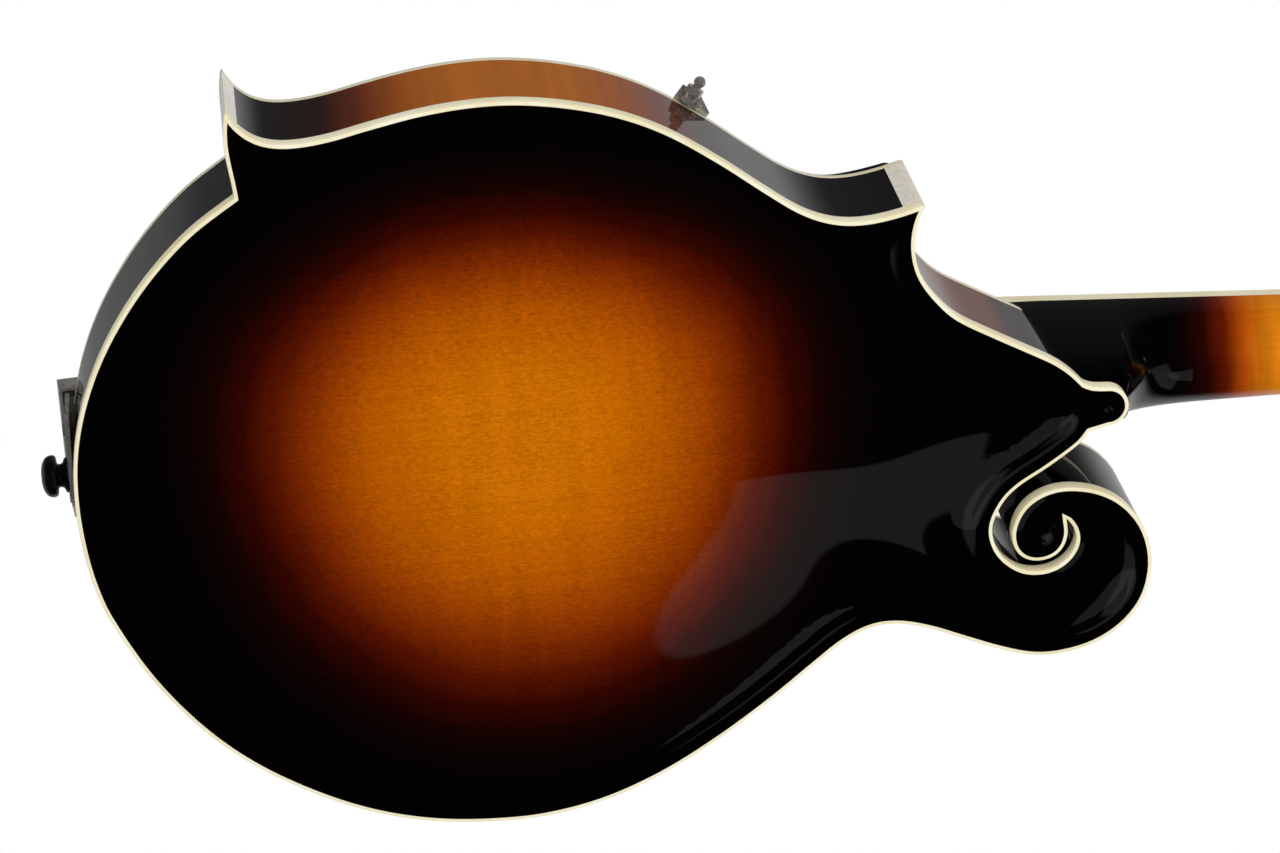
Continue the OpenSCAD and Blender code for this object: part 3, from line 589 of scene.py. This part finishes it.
def make_spruce_top():
    material, g, shader = lacquer("spruce_top")
    x, y, z = g.xyz(g.place())
    rho, colour = burst(g, x, z, (-2, 165), 96, 96, 118)
    colour = g.mix(0.45, colour, g.ramp(g.math("DIVIDE", rho, BURST_REACH), [
        (0, (226, 158, 60)), (0.42, (216, 138, 40)), (0.6, (150, 62, 10)), (0.75, (50, 8, 2)),
        (0.9, (3, 2, 2)),
    ]))
    wander = g.math("MULTIPLY", g.noise(g.scaled((6, 1, 5))), 0.006)
    phase = g.math("MULTIPLY", g.math("ADD", g.math("ABSOLUTE", x), wander), 2 * math.pi / 0.0014)
    late = g.step(g.math("SINE", phase), 0.1, 1.0, 0, 0.24)
    fine = g.noise(g.scaled((1400, 1, 22)), detail=1)
    shade = g.math("ADD", late, g.math("MULTIPLY_ADD", fine, 0.2, -0.1))
    g.put(shader.inputs["Base Color"], g.dim(colour, g.math("SUBTRACT", 1.03, shade)))
    return material


def make_inner_wood():
    material, g, shader = finish("inner_wood", roughness=0.7)
    grain = g.noise(g.scaled((500, 500, 12)), detail=3)
    g.put(shader.inputs["Base Color"], g.ramp(grain, [(0.3, (150, 118, 74)), (0.7, (206, 174, 122))]))
    g.put(shader.inputs["Normal"], g.bump(grain, 0.0001, 0.4))
    return material


def make_ebony():
    material, g, shader = finish("ebony", roughness=0.42, specular_ior_level=0.4)
    pores = g.noise(g.scaled((1400, 1400, 45)), detail=2)
    streaks = g.noise(g.scaled((120, 120, 6)), detail=3)
    colour = g.ramp(streaks, [(0.3, (16, 12, 11)), (0.55, (26, 18, 15)), (0.75, (44, 28, 20))])
    g.put(shader.inputs["Base Color"], g.dim(colour, g.step(pores, 0.3, 0.5, 0.6, 1)))
    g.put(shader.inputs["Roughness"], g.step(pores, 0.3, 0.6, 0.6, 0.38))
    g.put(shader.inputs["Normal"], g.bump(pores, 0.00004, 0.5))
    return material


def make_binding():
    material, g, shader = finish("binding", roughness=0.3, coat_weight=0.7, coat_roughness=0.05,
                                 subsurface_weight=0.08, subsurface_scale=0.001)
    cloud = g.noise(g.scaled((60, 60, 60)), detail=2)
    g.put(shader.inputs["Base Color"], g.ramp(cloud, [(0.3, (232, 222, 182)), (0.7, (241, 235, 208))]))
    return material


def make_ivoroid():
    material, g, shader = finish("ivoroid", roughness=0.32, coat_weight=0.6, coat_roughness=0.05,
                                 subsurface_weight=0.1, subsurface_scale=0.002)
    waves = g.noise(g.scaled((90, 700, 700), (8, 0, 6)), detail=3, distortion=0.3)
    g.put(shader.inputs["Base Color"], g.ramp(waves, [(0.35, (222, 215, 198)), (0.65, (240, 236, 226))]))
    return material


def make_black_plastic():
    material, g, shader = finish("black_plastic", roughness=0.25, coat_weight=0.5, coat_roughness=0.05)
    specks = g.noise(g.scaled((900, 900, 900)), detail=2)
    g.put(shader.inputs["Base Color"], g.ramp(specks, [(0.4, (8, 8, 9)), (0.65, (15, 14, 14))]))
    g.put(shader.inputs["Roughness"], g.step(specks, 0.3, 0.7, 0.2, 0.3))
    return material


def make_pearl():
    material, g, shader = finish("pearl", roughness=0.2, coat_weight=1.0, coat_roughness=0.03,
                                 specular_ior_level=0.7)
    layers = g.noise(g.scaled((420, 420, 420)), detail=3, distortion=2.2)
    colour = g.ramp(layers, [
        (0.3, (206, 214, 220)), (0.42, (236, 226, 220)), (0.52, (200, 222, 214)), (0.62, (238, 236, 230)),
        (0.72, (214, 204, 226)),
    ])
    g.put(shader.inputs["Base Color"], colour)
    return material


def make_bone():
    material, g, shader = finish("bone", roughness=0.38, subsurface_weight=0.1, subsurface_scale=0.002)
    pores = g.noise(g.scaled((1100, 1100, 300)), detail=2)
    colour = g.ramp(pores, [(0.3, (214, 202, 172)), (0.5, (236, 228, 206)), (0.7, (241, 235, 218))])
    g.put(shader.inputs["Base Color"], colour)
    return material


def make_metal(name, dark, light, rough, brushed=0.0, metallic=1.0):
    """Polished or plated metal with faint wear in its roughness."""
    material, g, shader = finish(name, metallic=metallic, roughness=rough)
    smudges = g.noise(g.scaled((240, 240, 240)), detail=3)
    fine = g.noise(g.scaled((2600, 300, 300)), detail=1)
    g.put(shader.inputs["Base Color"], g.ramp(smudges, [(0.35, dark), (0.65, light)]))
    g.put(shader.inputs["Roughness"], g.step(smudges, 0.3, 0.75, rough * 0.75, rough * 1.5))
    if brushed:
        g.put(shader.inputs["Normal"], g.bump(fine, 0.00002, brushed))
    return material


def make_string_metal():
    material, g, shader = finish("string_metal", metallic=1.0, roughness=0.28)
    turns = g.math("SINE", g.math("MULTIPLY", g.xyz(g.place())[2], 2 * math.pi / 0.00026))
    # Bronze wire, lighter on the crown of each turn and darker in the grooves between turns; the darkening in
    # the grooves is painted shade
    colour = g.ramp(g.step(turns, -1, 1), [(0, (120, 102, 78)), (1, (206, 186, 150))])
    g.put(shader.inputs["Base Color"], colour)
    g.put(shader.inputs["Normal"], g.bump(turns, 0.00005, 0.8))
    return material


finishes = {
    "maple_back": make_maple_back(),
    "spruce_top": make_spruce_top(),
    "maple_rib": make_maple_rib(),
    "maple_neck": make_maple_neck(),
    "inner_wood": make_inner_wood(),
    "ebony": make_ebony(),
    "binding": make_binding(),
    "ivoroid": make_ivoroid(),
    "black_plastic": make_black_plastic(),
    "pearl": make_pearl(),
    "bone": make_bone(),
    "nickel": make_metal("nickel", (186, 183, 176), (214, 211, 205), 0.26, metallic=0.75),
    "brass": make_metal("brass", (188, 150, 84), (216, 182, 116), 0.22),
    "steel": make_metal("steel", (150, 150, 150), (190, 190, 190), 0.3, 0.4),
    "string_metal": make_string_metal(),
    "fret_wire": make_metal("fret_wire", (186, 182, 172), (212, 208, 198), 0.2),
}

# ---------------------------------------------------------------- the body

outline = body_outline(True)
rim = body_outline(False)


def arch(points):
    x, z = points[:, 0] - ARCH_X, points[:, 1] - ARCH_Z
    reach = np.hypot(x / ARCH_HALF_W, z / np.where(z < 0, ARCH_TAIL, ARCH_NECK))
    return (1 + np.cos(math.pi * np.minimum(1, reach))) / 2


def ease(value, low, high):
    t = np.clip((value - low) / (high - low), 0, 1)
    return t * t * (3 - 2 * t)


def depth_in(loop, points):
    """How deep each point lies inside a closed line, without the creases that the distance has."""
    line = evenly(np.vstack([loop, loop[:1]]), 2)[:-1]
    total = np.concatenate([
        (((part[:, None] - line[None]) ** 2).sum(-1) + 1e-6) ** -2 @ np.full(len(line), 4 / math.pi)
        for part in np.array_split(points, 16)
    ])
    return total ** (-1 / 3)


def rise(points, gap, loop, side):
    """Height of a carved plate over its binding: a shallow recurve by the edge, then the arch."""
    if side < 0:
        high = arch(points)
        lift = 2.4 * ease(gap, 4, 16) * (1 - high) ** 4
        cove = 1.1 * np.exp(-(((gap - 6) / 3.0) ** 2)) * ease(gap, 0, 3)
        return ARCH * high + lift - cove
    high = (1 - np.cos(math.pi * np.minimum(1, depth_in(loop, points) / BACK_REACH))) / 2
    lift = 1.6 * ease(gap, 3, 15) * (1 - high) ** 4
    cove = 0.5 * np.exp(-(((gap - 5) / 2.6) ** 2)) * ease(gap, 0, 3)
    return ARCH * high + lift - cove


RING_DEPTHS = [2.0, 3.0, 4.4, 6.0, 8.0, 10.2]
GRID_PITCH = 2.3


def plate(name, slot, side, edge_line, edge_t, holes, replaces):
    """A carved plate: one outer and one inner skin over the same triangles, joined round all their edges."""
    rings = []
    for depth in RING_DEPTHS:
        ring = inset(edge_line, depth)[::2]
        rings.append(ring[gap_to(edge_line, ring) > depth * 0.97])
    (x0, z0), (x1, z1) = edge_line.min(0), edge_line.max(0)
    grid = np.meshgrid(np.arange(x0, x1, GRID_PITCH), np.arange(z0, z1, GRID_PITCH))
    grid = np.stack(grid, axis=-1).reshape(-1, 2)
    grid = grid[inside(edge_line, grid)]
    grid = grid[gap_to(edge_line, grid) > RING_DEPTHS[-1] + 1.2]
    free = np.vstack(rings + [grid])
    free = np.unique(np.round(free, 1), axis=0)
    for hole in holes:
        free = free[~inside(hole, free) & (gap_to(hole, free) > 0.7)]
    border = inset(edge_line, BINDING_W)
    border = border[np.sort(np.unique(np.round(border, 3), axis=0, return_index=True)[1])]
    loops = [border] + list(holes)
    edges, start = [], 0
    for loop in loops:
        edges += [(start + i, start + (i + 1) % len(loop)) for i in range(len(loop))]
        start += len(loop)
    every = np.vstack(loops + [free])
    made = geometry.delaunay_2d_cdt([Vector(p) for p in every], edges, [], 0, 1e-5, False)
    flat_points = np.array([tuple(v) for v in made[0]])
    triangles = np.array(made[2])
    middle = flat_points[triangles].mean(1)
    keep = inside(border, middle)
    for hole in holes:
        keep &= ~inside(hole, middle)
    triangles = triangles[keep]
    gap = gap_to(edge_line, flat_points)
    up = rise(flat_points, gap, edge_line, side)
    up = np.where(gap < BINDING_W * 1.05, 0, up)
    base = BACK_Y if side > 0 else FRONT_Y
    thick = edge_t - 0.6 * ease(gap, 5, 40)
    outer = np.stack([flat_points[:, 0], base + side * up, flat_points[:, 1]], axis=1)
    inner = np.stack([flat_points[:, 0], base + side * (up - thick), flat_points[:, 1]], axis=1)
    count = len(outer)
    faces = triangles.tolist() + (triangles[:, ::-1] + count).tolist()
    sides = {}
    for a, b, c in triangles.tolist():
        for pair in ((a, b), (b, c), (c, a)):
            key = tuple(sorted(pair))
            sides[key] = None if key in sides else pair
    faces += [[b, a, a + count, b + count] for a, b in (p for p in sides.values() if p)]
    return Shape().add(np.vstack([outer, inner]), faces).make(name, slot, replaces=replaces, sharp=40)


def f_hole(mirror):
    """The outline of one f-hole: a swelling stem with a nick on each side, between two round eyes."""
    line = curve(F_HOLE_LINE, 6)
    share = np.linspace(0, 1, len(line))
    width = 1.3 + 2 * np.sin(math.pi * share)
    width[len(line) // 2] += 1.2
    along = np.gradient(line, axis=0)
    along /= np.linalg.norm(along, axis=1)[:, None]
    across = np.stack([-along[:, 1], along[:, 0]], axis=1)
    eyes = [(np.array(F_HOLE_LINE[0], float), 4.0), (np.array(F_HOLE_LINE[-1], float), 3.5)]
    sides = []
    for way in (1, -1):
        side = line + way * across * width[:, None]
        clear = [np.linalg.norm(side - eye, axis=1) > r + 0.1 for eye, r in eyes]
        sides.append(side[clear[0] & clear[1]])
    left, right = sides

    def around(eye, radius, start, end, way):
        a = math.atan2(*(start - eye)[::-1])
        b = math.atan2(*(end - eye)[::-1])
        while (b - a) * way < math.pi / 2:
            b += way * 2 * math.pi
        turn = np.linspace(a, b, 20)
        return eye + radius * np.stack([np.cos(turn), np.sin(turn)], axis=1)

    far = around(eyes[1][0], eyes[1][1], right[-1], left[-1], 1)
    near = around(eyes[0][0], eyes[0][1], left[0], right[0], 1)
    loop = np.vstack([right, far, left[::-1], near])
    return loop * (-1, 1) if mirror else loop


def ring_wall(shape, loop, profile):
    """A wall that follows a closed line; its profile is (inset, y) pairs."""
    return shape.loft([flat(inset(loop, d), y) for d, y in profile], closed=True)


def make_body():
    plate("carved_back", "maple_back", 1, outline, BACK_T, [], ["back_plate"])
    plate("carved_top", "spruce_top", -1, rim, TOP_T, [f_hole(False), f_hole(True)], ["top_plate"])
    soft = 0.45
    back_profile = [
        (0, RIB_BACK_Y), (0, BACK_Y - soft), (soft * 0.3, BACK_Y - soft * 0.3), (soft, BACK_Y),
        (BINDING_W, BACK_Y), (BINDING_W, RIB_BACK_Y),
    ]
    ring_wall(Shape(), outline, back_profile).make("back_edge_binding", "binding", replaces=["back_binding"])
    front_profile = [
        (0, RIB_FRONT_Y), (0, FRONT_Y + soft), (soft * 0.3, FRONT_Y + soft * 0.3), (soft, FRONT_Y),
        (BINDING_W, FRONT_Y), (BINDING_W, RIB_FRONT_Y),
    ]
    ring_wall(Shape(), rim, front_profile).make("top_edge_binding", "binding", replaces=["top_binding"])
    rib_profile = [(0.06, RIB_FRONT_Y), (0.06, RIB_BACK_Y), (RIB_T, RIB_BACK_Y), (RIB_T, RIB_FRONT_Y)]
    ribs = ring_wall(Shape(), rim, rib_profile)
    ribs.make("bent_ribs", "maple_rib", replaces=["rib_scroll", "rib_tail", "rib_treble", "rib_upper"])
    guards = Shape()
    outer, inner = rim, inset(rim, 1.5)
    for tip, reach in zip(POINT_TIPS, (6.8, 7.2)):
        near = np.linalg.norm(rim - tip, axis=1) < reach
        order = [i for i in range(len(rim)) if near[i]]
        ring = [np.vstack([flat(outer[order], y), flat(inner[order][::-1], y)])
                for y in (RIB_FRONT_Y, RIB_BACK_Y)]
        guards.loft(ring)
    guards.make("point_guards", "ivoroid", replaces=["point_protectors"])


# ---------------------------------------------------------------- neck and headstock

NECK_DEPTHS = [
    (0, 14.5), (40, 15), (100, 16), (140, 16.6), (158, 17.2), (166, 18.2), (173, 20.5), (179, 25), (183, 31),
    (186, 38), (188.5, 44.5), (191, 49), (236, 50),
]
HEEL_Y = RIB_BACK_Y - 0.05
HEAD_THROAT = [
    (7, 14.9, 17.2), (12, 15.6, 16.8), (17, 16.2, 15.2), (22, 16, 13.6), (28, 14, 12.2), (34, 10, 11),
]


def neck_section(half, depth, fullness):
    """A rounded section under the fretboard: its flat side, then the curve from edge to edge."""
    turn = np.linspace(0, math.pi, 44)
    x = half * np.sign(np.cos(turn)) * np.abs(np.cos(turn)) ** fullness
    y = depth * np.sin(turn)
    return x, y


def make_neck():
    depth_line = curve(NECK_DEPTHS, 10)
    stations = np.r_[np.arange(232, 192, -5.0), np.arange(192, 160, -1.5), np.arange(160, 2, -6.0), 2.0]
    rings = []
    for d in stations:
        depth = np.interp(d, depth_line[:, 0], depth_line[:, 1])
        x, y = neck_section(board_half(min(d, 215)), depth, 0.98 + 0.9 * ease(depth, 17, 44))
        ring = in_neck(np.stack([x, BOARD_T + y, np.full(len(x), -d)], axis=1))
        ring[:, 1] = np.minimum(ring[:, 1], HEEL_Y)
        rings.append(ring)
    for z, half, depth in HEAD_THROAT:
        x, y = neck_section(half, depth, 0.92)
        rings.append(in_head(np.stack([x, VENEER_T + 0.1 + y, np.full(len(x), float(z))], axis=1)))
    neck = Shape().loft(rings)
    head = head_outline()
    head = head[head[:, 1] > 3]
    neck.slab(head, VENEER_T, HEAD_BACK, 0.05, 1.6, in_head, steps=6)
    under = in_neck(np.array([[0, BOARD_T, -200], [0, BOARD_T, -262]]))
    side = [
        (under[0, 2], under[0, 1]), (under[0, 2], FRONT_Y + 1), (330, FRONT_Y + 1),
        (under[1, 2], FRONT_Y - 3.4), (under[1, 2], under[1, 1]),
    ]
    support = [np.array([(x, y, z) for z, y in side]) for x in (-17, 17)]
    neck.loft(support)
    neck.make("carved_neck", "maple_neck", replaces=["neck"], sharp=40)


def head_outline():
    return np.vstack([fair(HEAD_SIDES), fair(HEAD_CROWN), fair(HEAD_SCROLL)])


def make_head_face():
    head = head_outline()
    head = head[head[:, 1] > 1.5]
    face = Shape().slab(head, 0, VENEER_T, 0.35, 0.05, in_head)
    face.make("head_face", "black_plastic", replaces=["headstock_veneer"])
    cover = np.vstack([
        curve([(8, 2), (8.5, 10), (12, 18), (15, 26), (13, 32), (6, 35.5), (0, 37)], 6)[:-1],
        curve([(0, 37), (-6, 35.5), (-13, 32), (-15, 26), (-12, 18), (-8.5, 10), (-8, 2)], 6),
    ])
    plate_shape = Shape().slab(cover, -1.6, 0, 0.5, 0.05, in_head)
    plate_shape.make("truss_plate", "black_plastic", replaces=["truss_cover"])
    screws = Shape()
    for x, z in ((0, 33), (0, 8)):
        screws.lathe([(0.01, 1.6), (1.5, 1.6), (1.5, 2.0), (1.1, 2.35), (0.5, 2.5), (0.01, 2.52)],
                     lambda p, x=x, z=z: in_head(np.stack([p[:, 0] + x, -p[:, 2], p[:, 1] + z], axis=1)), 24)
    screws.make("truss_plate_screws", "nickel")


def make_frets():
    """Fret wire: a crown over the board's slot, its ends bevelled to the binding."""
    frets = Shape()
    turn = np.linspace(0, math.pi, 11)
    for number in range(1, FRETS + 1):
        half = board_half(fret_at(number)) - 0.3
        rings = []
        ends = [(-half, 0.25), (-half + 0.35, 0.75), (-half + 0.9, 1)]
        for x, size in ends + [(-x, size) for x, size in reversed(ends)]:
            z = -fret_at(number)
            crown = np.stack([np.full(11, x), -1.1 * size * np.sin(turn), z + 1.1 * np.cos(turn)], axis=1)
            rings.append(in_neck(np.vstack([crown, [[x, 0.02, z - 1.1], [x, 0.02, z + 1.1]]])))
        frets.loft(rings)
    frets.make("fret_crowns", "fret_wire", replaces=["frets"])


# ---------------------------------------------------------------- hardware

def make_end_pin():
    profile = [(0.01, 12)] + [(3.4, 12), (3.4, 0), (3.5, -1.5)]
    profile += curve([
        (3.5, -1.6), (5.4, -1.6), (6.0, -2.3), (5.6, -3.2), (4.3, -3.8), (3.9, -4.8), (4.3, -5.6),
        (6.2, -5.9), (7.0, -6.7), (7.0, -8.0), (6.3, -9.4), (4.6, -10.5), (2.4, -11.0), (0.02, -11.1),
    ], 5).tolist()
    pin = Shape().lathe(profile, in_body, 72)
    pin.make("strap_pin", "black_plastic", replaces=["end_pin"], sharp=50)


def make_pickguard():
    loop = np.vstack([curve(GUARD_SIDE, 6)[:-1], curve(GUARD_NECK, 6), [(23.5, -300)]])
    guard = Shape().slab(loop, 2, 4, 0.5, 0.4, in_neck)
    guard.make("finger_rest", "black_plastic", replaces=["pickguard"])


BUTTON_STATIONS = [
    (1.2, 0.05, 0.05), (1.35, 3.2, 1.3), (1.9, 5.0, 2.0), (3.0, 6.3, 2.5), (4.8, 7.0, 2.8), (7.0, 7.15, 2.8),
    (9.4, 6.9, 2.75), (11.6, 6.4, 2.6), (13.4, 5.4, 2.2), (14.6, 3.9, 1.6), (15.1, 2.2, 0.9),
    (15.2, 0.05, 0.05),
]


def make_tuner_button(number):
    """An oval thumb piece on a short boss, in ivory-coloured plastic."""
    side = post_side(number)
    x0, post_z = post_place(number)
    centre = (x0 + side * 15, WORM_Y, post_z - WORM_DROP)
    stations = curve(BUTTON_STATIONS, 3)
    turn = np.linspace(0, 2 * math.pi, 40, endpoint=False)

    def power(value):
        return np.sign(value) * np.abs(value) ** 0.8

    button = Shape()
    rings = []
    for x, width, thick in stations:
        width, thick = max(width, 0.02), max(thick, 0.02)
        rings.append(in_head(np.stack([
            np.full(40, centre[0] + side * x), centre[1] + thick * power(np.sin(turn)),
            centre[2] + width * power(np.cos(turn)),
        ], axis=1)))
    button.loft(rings)

    def boss(p):
        x, y, z = centre
        return in_head(np.stack([x + side * p[:, 2], y + p[:, 0], z + p[:, 1]], axis=1))

    button.lathe([(1.6, 0), (2.2, 0), (2.4, 0.25), (2.4, 1.0), (2.1, 2.2), (1.6, 2.3)], boss, 32)
    button.make(f"thumb_piece_{number}", "ivoroid", body=f"key_{number}", replaces=[f"button_{number}"])


def string_points(k):
    """Where a string leaves its hook, crosses the saddle and the nut, and meets its post."""
    radius = STRING_RADII[k]
    post_x, post_z = post_place(STRING_POSTS[k])
    side = post_side(STRING_POSTS[k])
    hook = in_tail([[string_x(k, *AT_HOOKS), -3.6, 51]])[0]
    saddle = np.array([string_x(k, *AT_SADDLE), BRIDGE_TOP_Y + 0.35 - radius, BRIDGE_Z])
    nut = in_neck([[string_x(k, *AT_NUT), -1.05 - radius, NUT_T - 0.1]])[0]
    post = in_head([[post_x - side * (POST_R + 0.15 + radius), -5.5, post_z]])[0]
    return hook, saddle, nut, post


def make_strings():
    """Two pieces, one on each side of the saddle."""
    tail, neck = Shape(), Shape()
    share = np.linspace(0, 1, 25)[:, None]
    for k in range(8):
        hook, saddle, nut, post = string_points(k)
        tail.tube(hook + (saddle - hook) * share, STRING_RADII[k])
        to_nut = saddle + (nut - saddle) * share
        neck.tube(np.vstack([to_nut, nut + (post - nut) * share[5::4]]), STRING_RADII[k])
        loop_turn = np.linspace(0, 2 * math.pi, 14)
        centre = in_tail([[string_x(k, *AT_HOOKS), -3.6, 49.4]])[0]
        ring = centre + np.stack([1.3 * np.sin(loop_turn), 0 * loop_turn, 1.6 * np.cos(loop_turn)], axis=1)
        tail.tube(ring, STRING_RADII[k] * 0.8, 8)
    tail_piece = tail.make("strings_behind_bridge", "string_metal", body=None, replaces=["strings"])
    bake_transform(tail_piece)
    neck_piece = neck.make("strings_over_board", "string_metal", body=None, replaces=["strings"])
    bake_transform(neck_piece)


HOLE_Y = -9


def make_string_turns(k):
    """The turns of a string on its post, ending through the post's hole."""
    number = STRING_POSTS[k]
    radius = STRING_RADII[k]
    side = post_side(number)
    post_x, post_z = post_place(number)
    reach = POST_R + 0.08 + radius
    count = min(6, max(3, round(2.6 / (2 * radius))))
    turn = np.linspace(0, 2 * math.pi * count, 26 * count)
    y = -5.5 - 2.1 * radius * turn / (2 * math.pi)
    wraps = np.stack([post_x - side * reach * np.cos(turn), y, post_z + reach * np.sin(turn)], axis=1)
    last = np.linspace(0, math.pi / 2, 12)[1:, None]
    climb = np.hstack([
        post_x - side * (reach * np.cos(last)), y[-1] + (HOLE_Y - y[-1]) * last / (math.pi / 2),
        post_z + reach * np.sin(last),
    ])
    end = [[post_x + side * 1.5, HOLE_Y, post_z], [post_x + side * (reach + 2), HOLE_Y - 0.2, post_z - 0.5]]
    path = np.vstack([wraps, climb[:-2], end])
    turns = Shape().tube(in_head(path), radius, 10)
    turns.make(f"string_turns_{k + 1}", "string_metal", body=f"string_post_{number}")


def bevel_cad_nodes():
    """The CAD's own solids that stay in view get their finish and softened edges."""
    kept = {
        "inner_wood": ["body_blocks", "linings", "tone_bars"],
        "ebony": ["bridge_base", "bridge_saddle", "fretboard"],
        "binding": ["fretboard_binding"],
        "pearl": ["fret_markers"],
        "bone": ["nut"],
        "brass": ["bridge_studs", "thumbwheel_bass", "thumbwheel_treble", "truss_nut"],
        "steel": ["truss_rod"],
        "nickel": ["tailpiece_base", "tailpiece_cover", "tailpiece_screws", "pickguard_bracket",
                   "tuner_plates", "post_bushings"],
    }
    kept["nickel"] += [f"worm_{i}" for i in range(1, 9)]
    kept["brass"] += [f"post_{i}" for i in range(1, 9)]
    width = {
        "bridge_base": 0.5, "bridge_saddle": 0.35, "tailpiece_cover": 0.4, "fretboard_binding": 0.25,
        "nut": 0.25,
    }
    for slot, nodes in kept.items():
        for name in nodes:
            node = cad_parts[name]
            node.data.materials.clear()
            node.data.materials.append(finishes[slot])
            weld = node.modifiers.new("weld", "WELD")
            weld.merge_threshold = 5e-6
            bevel = node.modifiers.new("bevel", "BEVEL")
            bevel.width = width.get(name, 0.15) * MM
            bevel.segments = 2
            bevel.limit_method = "ANGLE"
            bevel.angle_limit = math.radians(32)
            bevel.harden_normals = True


# ---------------------------------------------------------------- stage

FLOOR_RADIUS = 3
FLOOR_Z = -0.35


def make_floor():
    """A pale round floor well below the mandolin, which hangs from its headstock."""
    ring = np.linspace(0, 2 * math.pi, 96, endpoint=False)
    points = [(FLOOR_RADIUS * math.cos(t), FLOOR_RADIUS * math.sin(t), FLOOR_Z) for t in ring]
    mesh = bpy.data.meshes.new("floor")
    mesh.from_pydata(points, [], [list(range(96))])
    floor = bpy.data.objects.new("floor", mesh)
    bpy.context.scene.collection.objects.link(floor)
    material, g, shader = finish("floor", (232, 231, 228), roughness=0.8)
    grain = g.noise(g.place(), scale=220, detail=2)
    g.put(shader.inputs["Base Color"], g.ramp(grain, [(0.3, (226, 225, 222)), (0.7, (236, 235, 233))]))
    mesh.materials.append(material)
    floor.visible_glossy = False


AMBIENT = 0.75


def make_world():
    """White to the camera and on what is lit; the gloss sees a dark room with a pale wall and two cards."""
    world = bpy.data.worlds.new("studio")
    bpy.context.scene.world = world
    world.use_nodes = True
    g = Graph(world.node_tree)
    x, y, z = g.xyz(g.node("ShaderNodeTexCoord").outputs["Generated"])
    wall = g.math("MULTIPLY", g.step(y, -0.4, 0.0, 1, 0), g.step(x, -0.1, 0.3, 0.5, 0.07))
    wall = g.math("MULTIPLY", wall, g.step(z, -0.3, 0.1, 0.45, 1))
    side_card = g.math("MULTIPLY", g.step(x, -0.465, -0.455, 1, 0), g.step(z, 0.245, 0.255))
    side_card = g.math("MULTIPLY", side_card, g.step(y, 0.55, 0.58))
    top_card = g.math("MULTIPLY", g.step(z, 0.4, 0.44), g.step(x, -0.2, -0.12, 1, 0))
    top_card = g.math("MULTIPLY", top_card, g.step(y, 0.15, 0.25))
    top_card = g.math("MULTIPLY", top_card, g.step(y, 0.68, 0.74, 1, 0))
    cards = g.math("MULTIPLY_ADD", side_card, 0.24, g.math("MULTIPLY", top_card, 0.25))
    gloss = g.math("ADD", wall, cards)
    path = g.node("ShaderNodeLightPath")
    seen = path.outputs["Is Camera Ray"]
    more = g.math("SUBTRACT", gloss, AMBIENT)
    strength = g.math("MULTIPLY_ADD", path.outputs["Is Glossy Ray"], more, AMBIENT)
    strength = g.math("ADD", g.math("MULTIPLY", strength, g.math("SUBTRACT", 1, seen)), seen)
    background = world.node_tree.nodes["Background"]
    background.inputs["Color"].default_value = (1, 1, 1, 1)
    g.put(background.inputs["Strength"], strength)


def soft_box(name, place, aim, size, power, gloss=False):
    light = bpy.data.lights.new(name, "AREA")
    light.shape = "RECTANGLE"
    light.size, light.size_y = size
    light.energy = power
    box = bpy.data.objects.new(name, light)
    box.location = place
    box.rotation_euler = (Vector(aim) - Vector(place)).to_track_quat("-Z", "Y").to_euler()
    box.visible_glossy = gloss
    bpy.context.scene.collection.objects.link(box)


def make_lights():
    centre = (0, 0, 0.2)
    soft_box("key_behind", (0.9, 1.8, 1.3), centre, (1.6, 1.6), 26)
    soft_box("key_front", (-0.9, -1.9, 1.3), centre, (1.6, 1.6), 30)


def make_camera():
    """The photograph's view: square to the back, from the treble side, with the neck to the right."""
    lens = bpy.data.cameras.new("camera")
    lens.lens = 126.6
    lens.sensor_width = 36
    lens.clip_start, lens.clip_end = 0.05, 50
    camera = bpy.data.objects.new("camera", lens)
    right = Vector((-0.0511, 0.1124, 0.9924)).normalized()
    forward = Vector((-0.3934, -0.9156, 0.0834))
    forward = (forward - right * forward.dot(right)).normalized()
    up = right.cross(forward)
    turn = Matrix((right, up, -forward)).transposed().to_4x4()
    camera.matrix_world = Matrix.Translation(Vector((594.6, 1387.3, 63.1)) * MM) @ turn
    bpy.context.scene.collection.objects.link(camera)
    bpy.context.scene.camera = camera


make_camera()
make_world()
make_lights()
make_floor()
make_body()
make_neck()
make_head_face()
make_frets()
make_end_pin()
make_pickguard()
for number in range(1, 9):
    make_tuner_button(number)
make_strings()
for k in range(8):
    make_string_turns(k)
bevel_cad_nodes()

bpy.context.scene.view_settings.view_transform = "Standard"
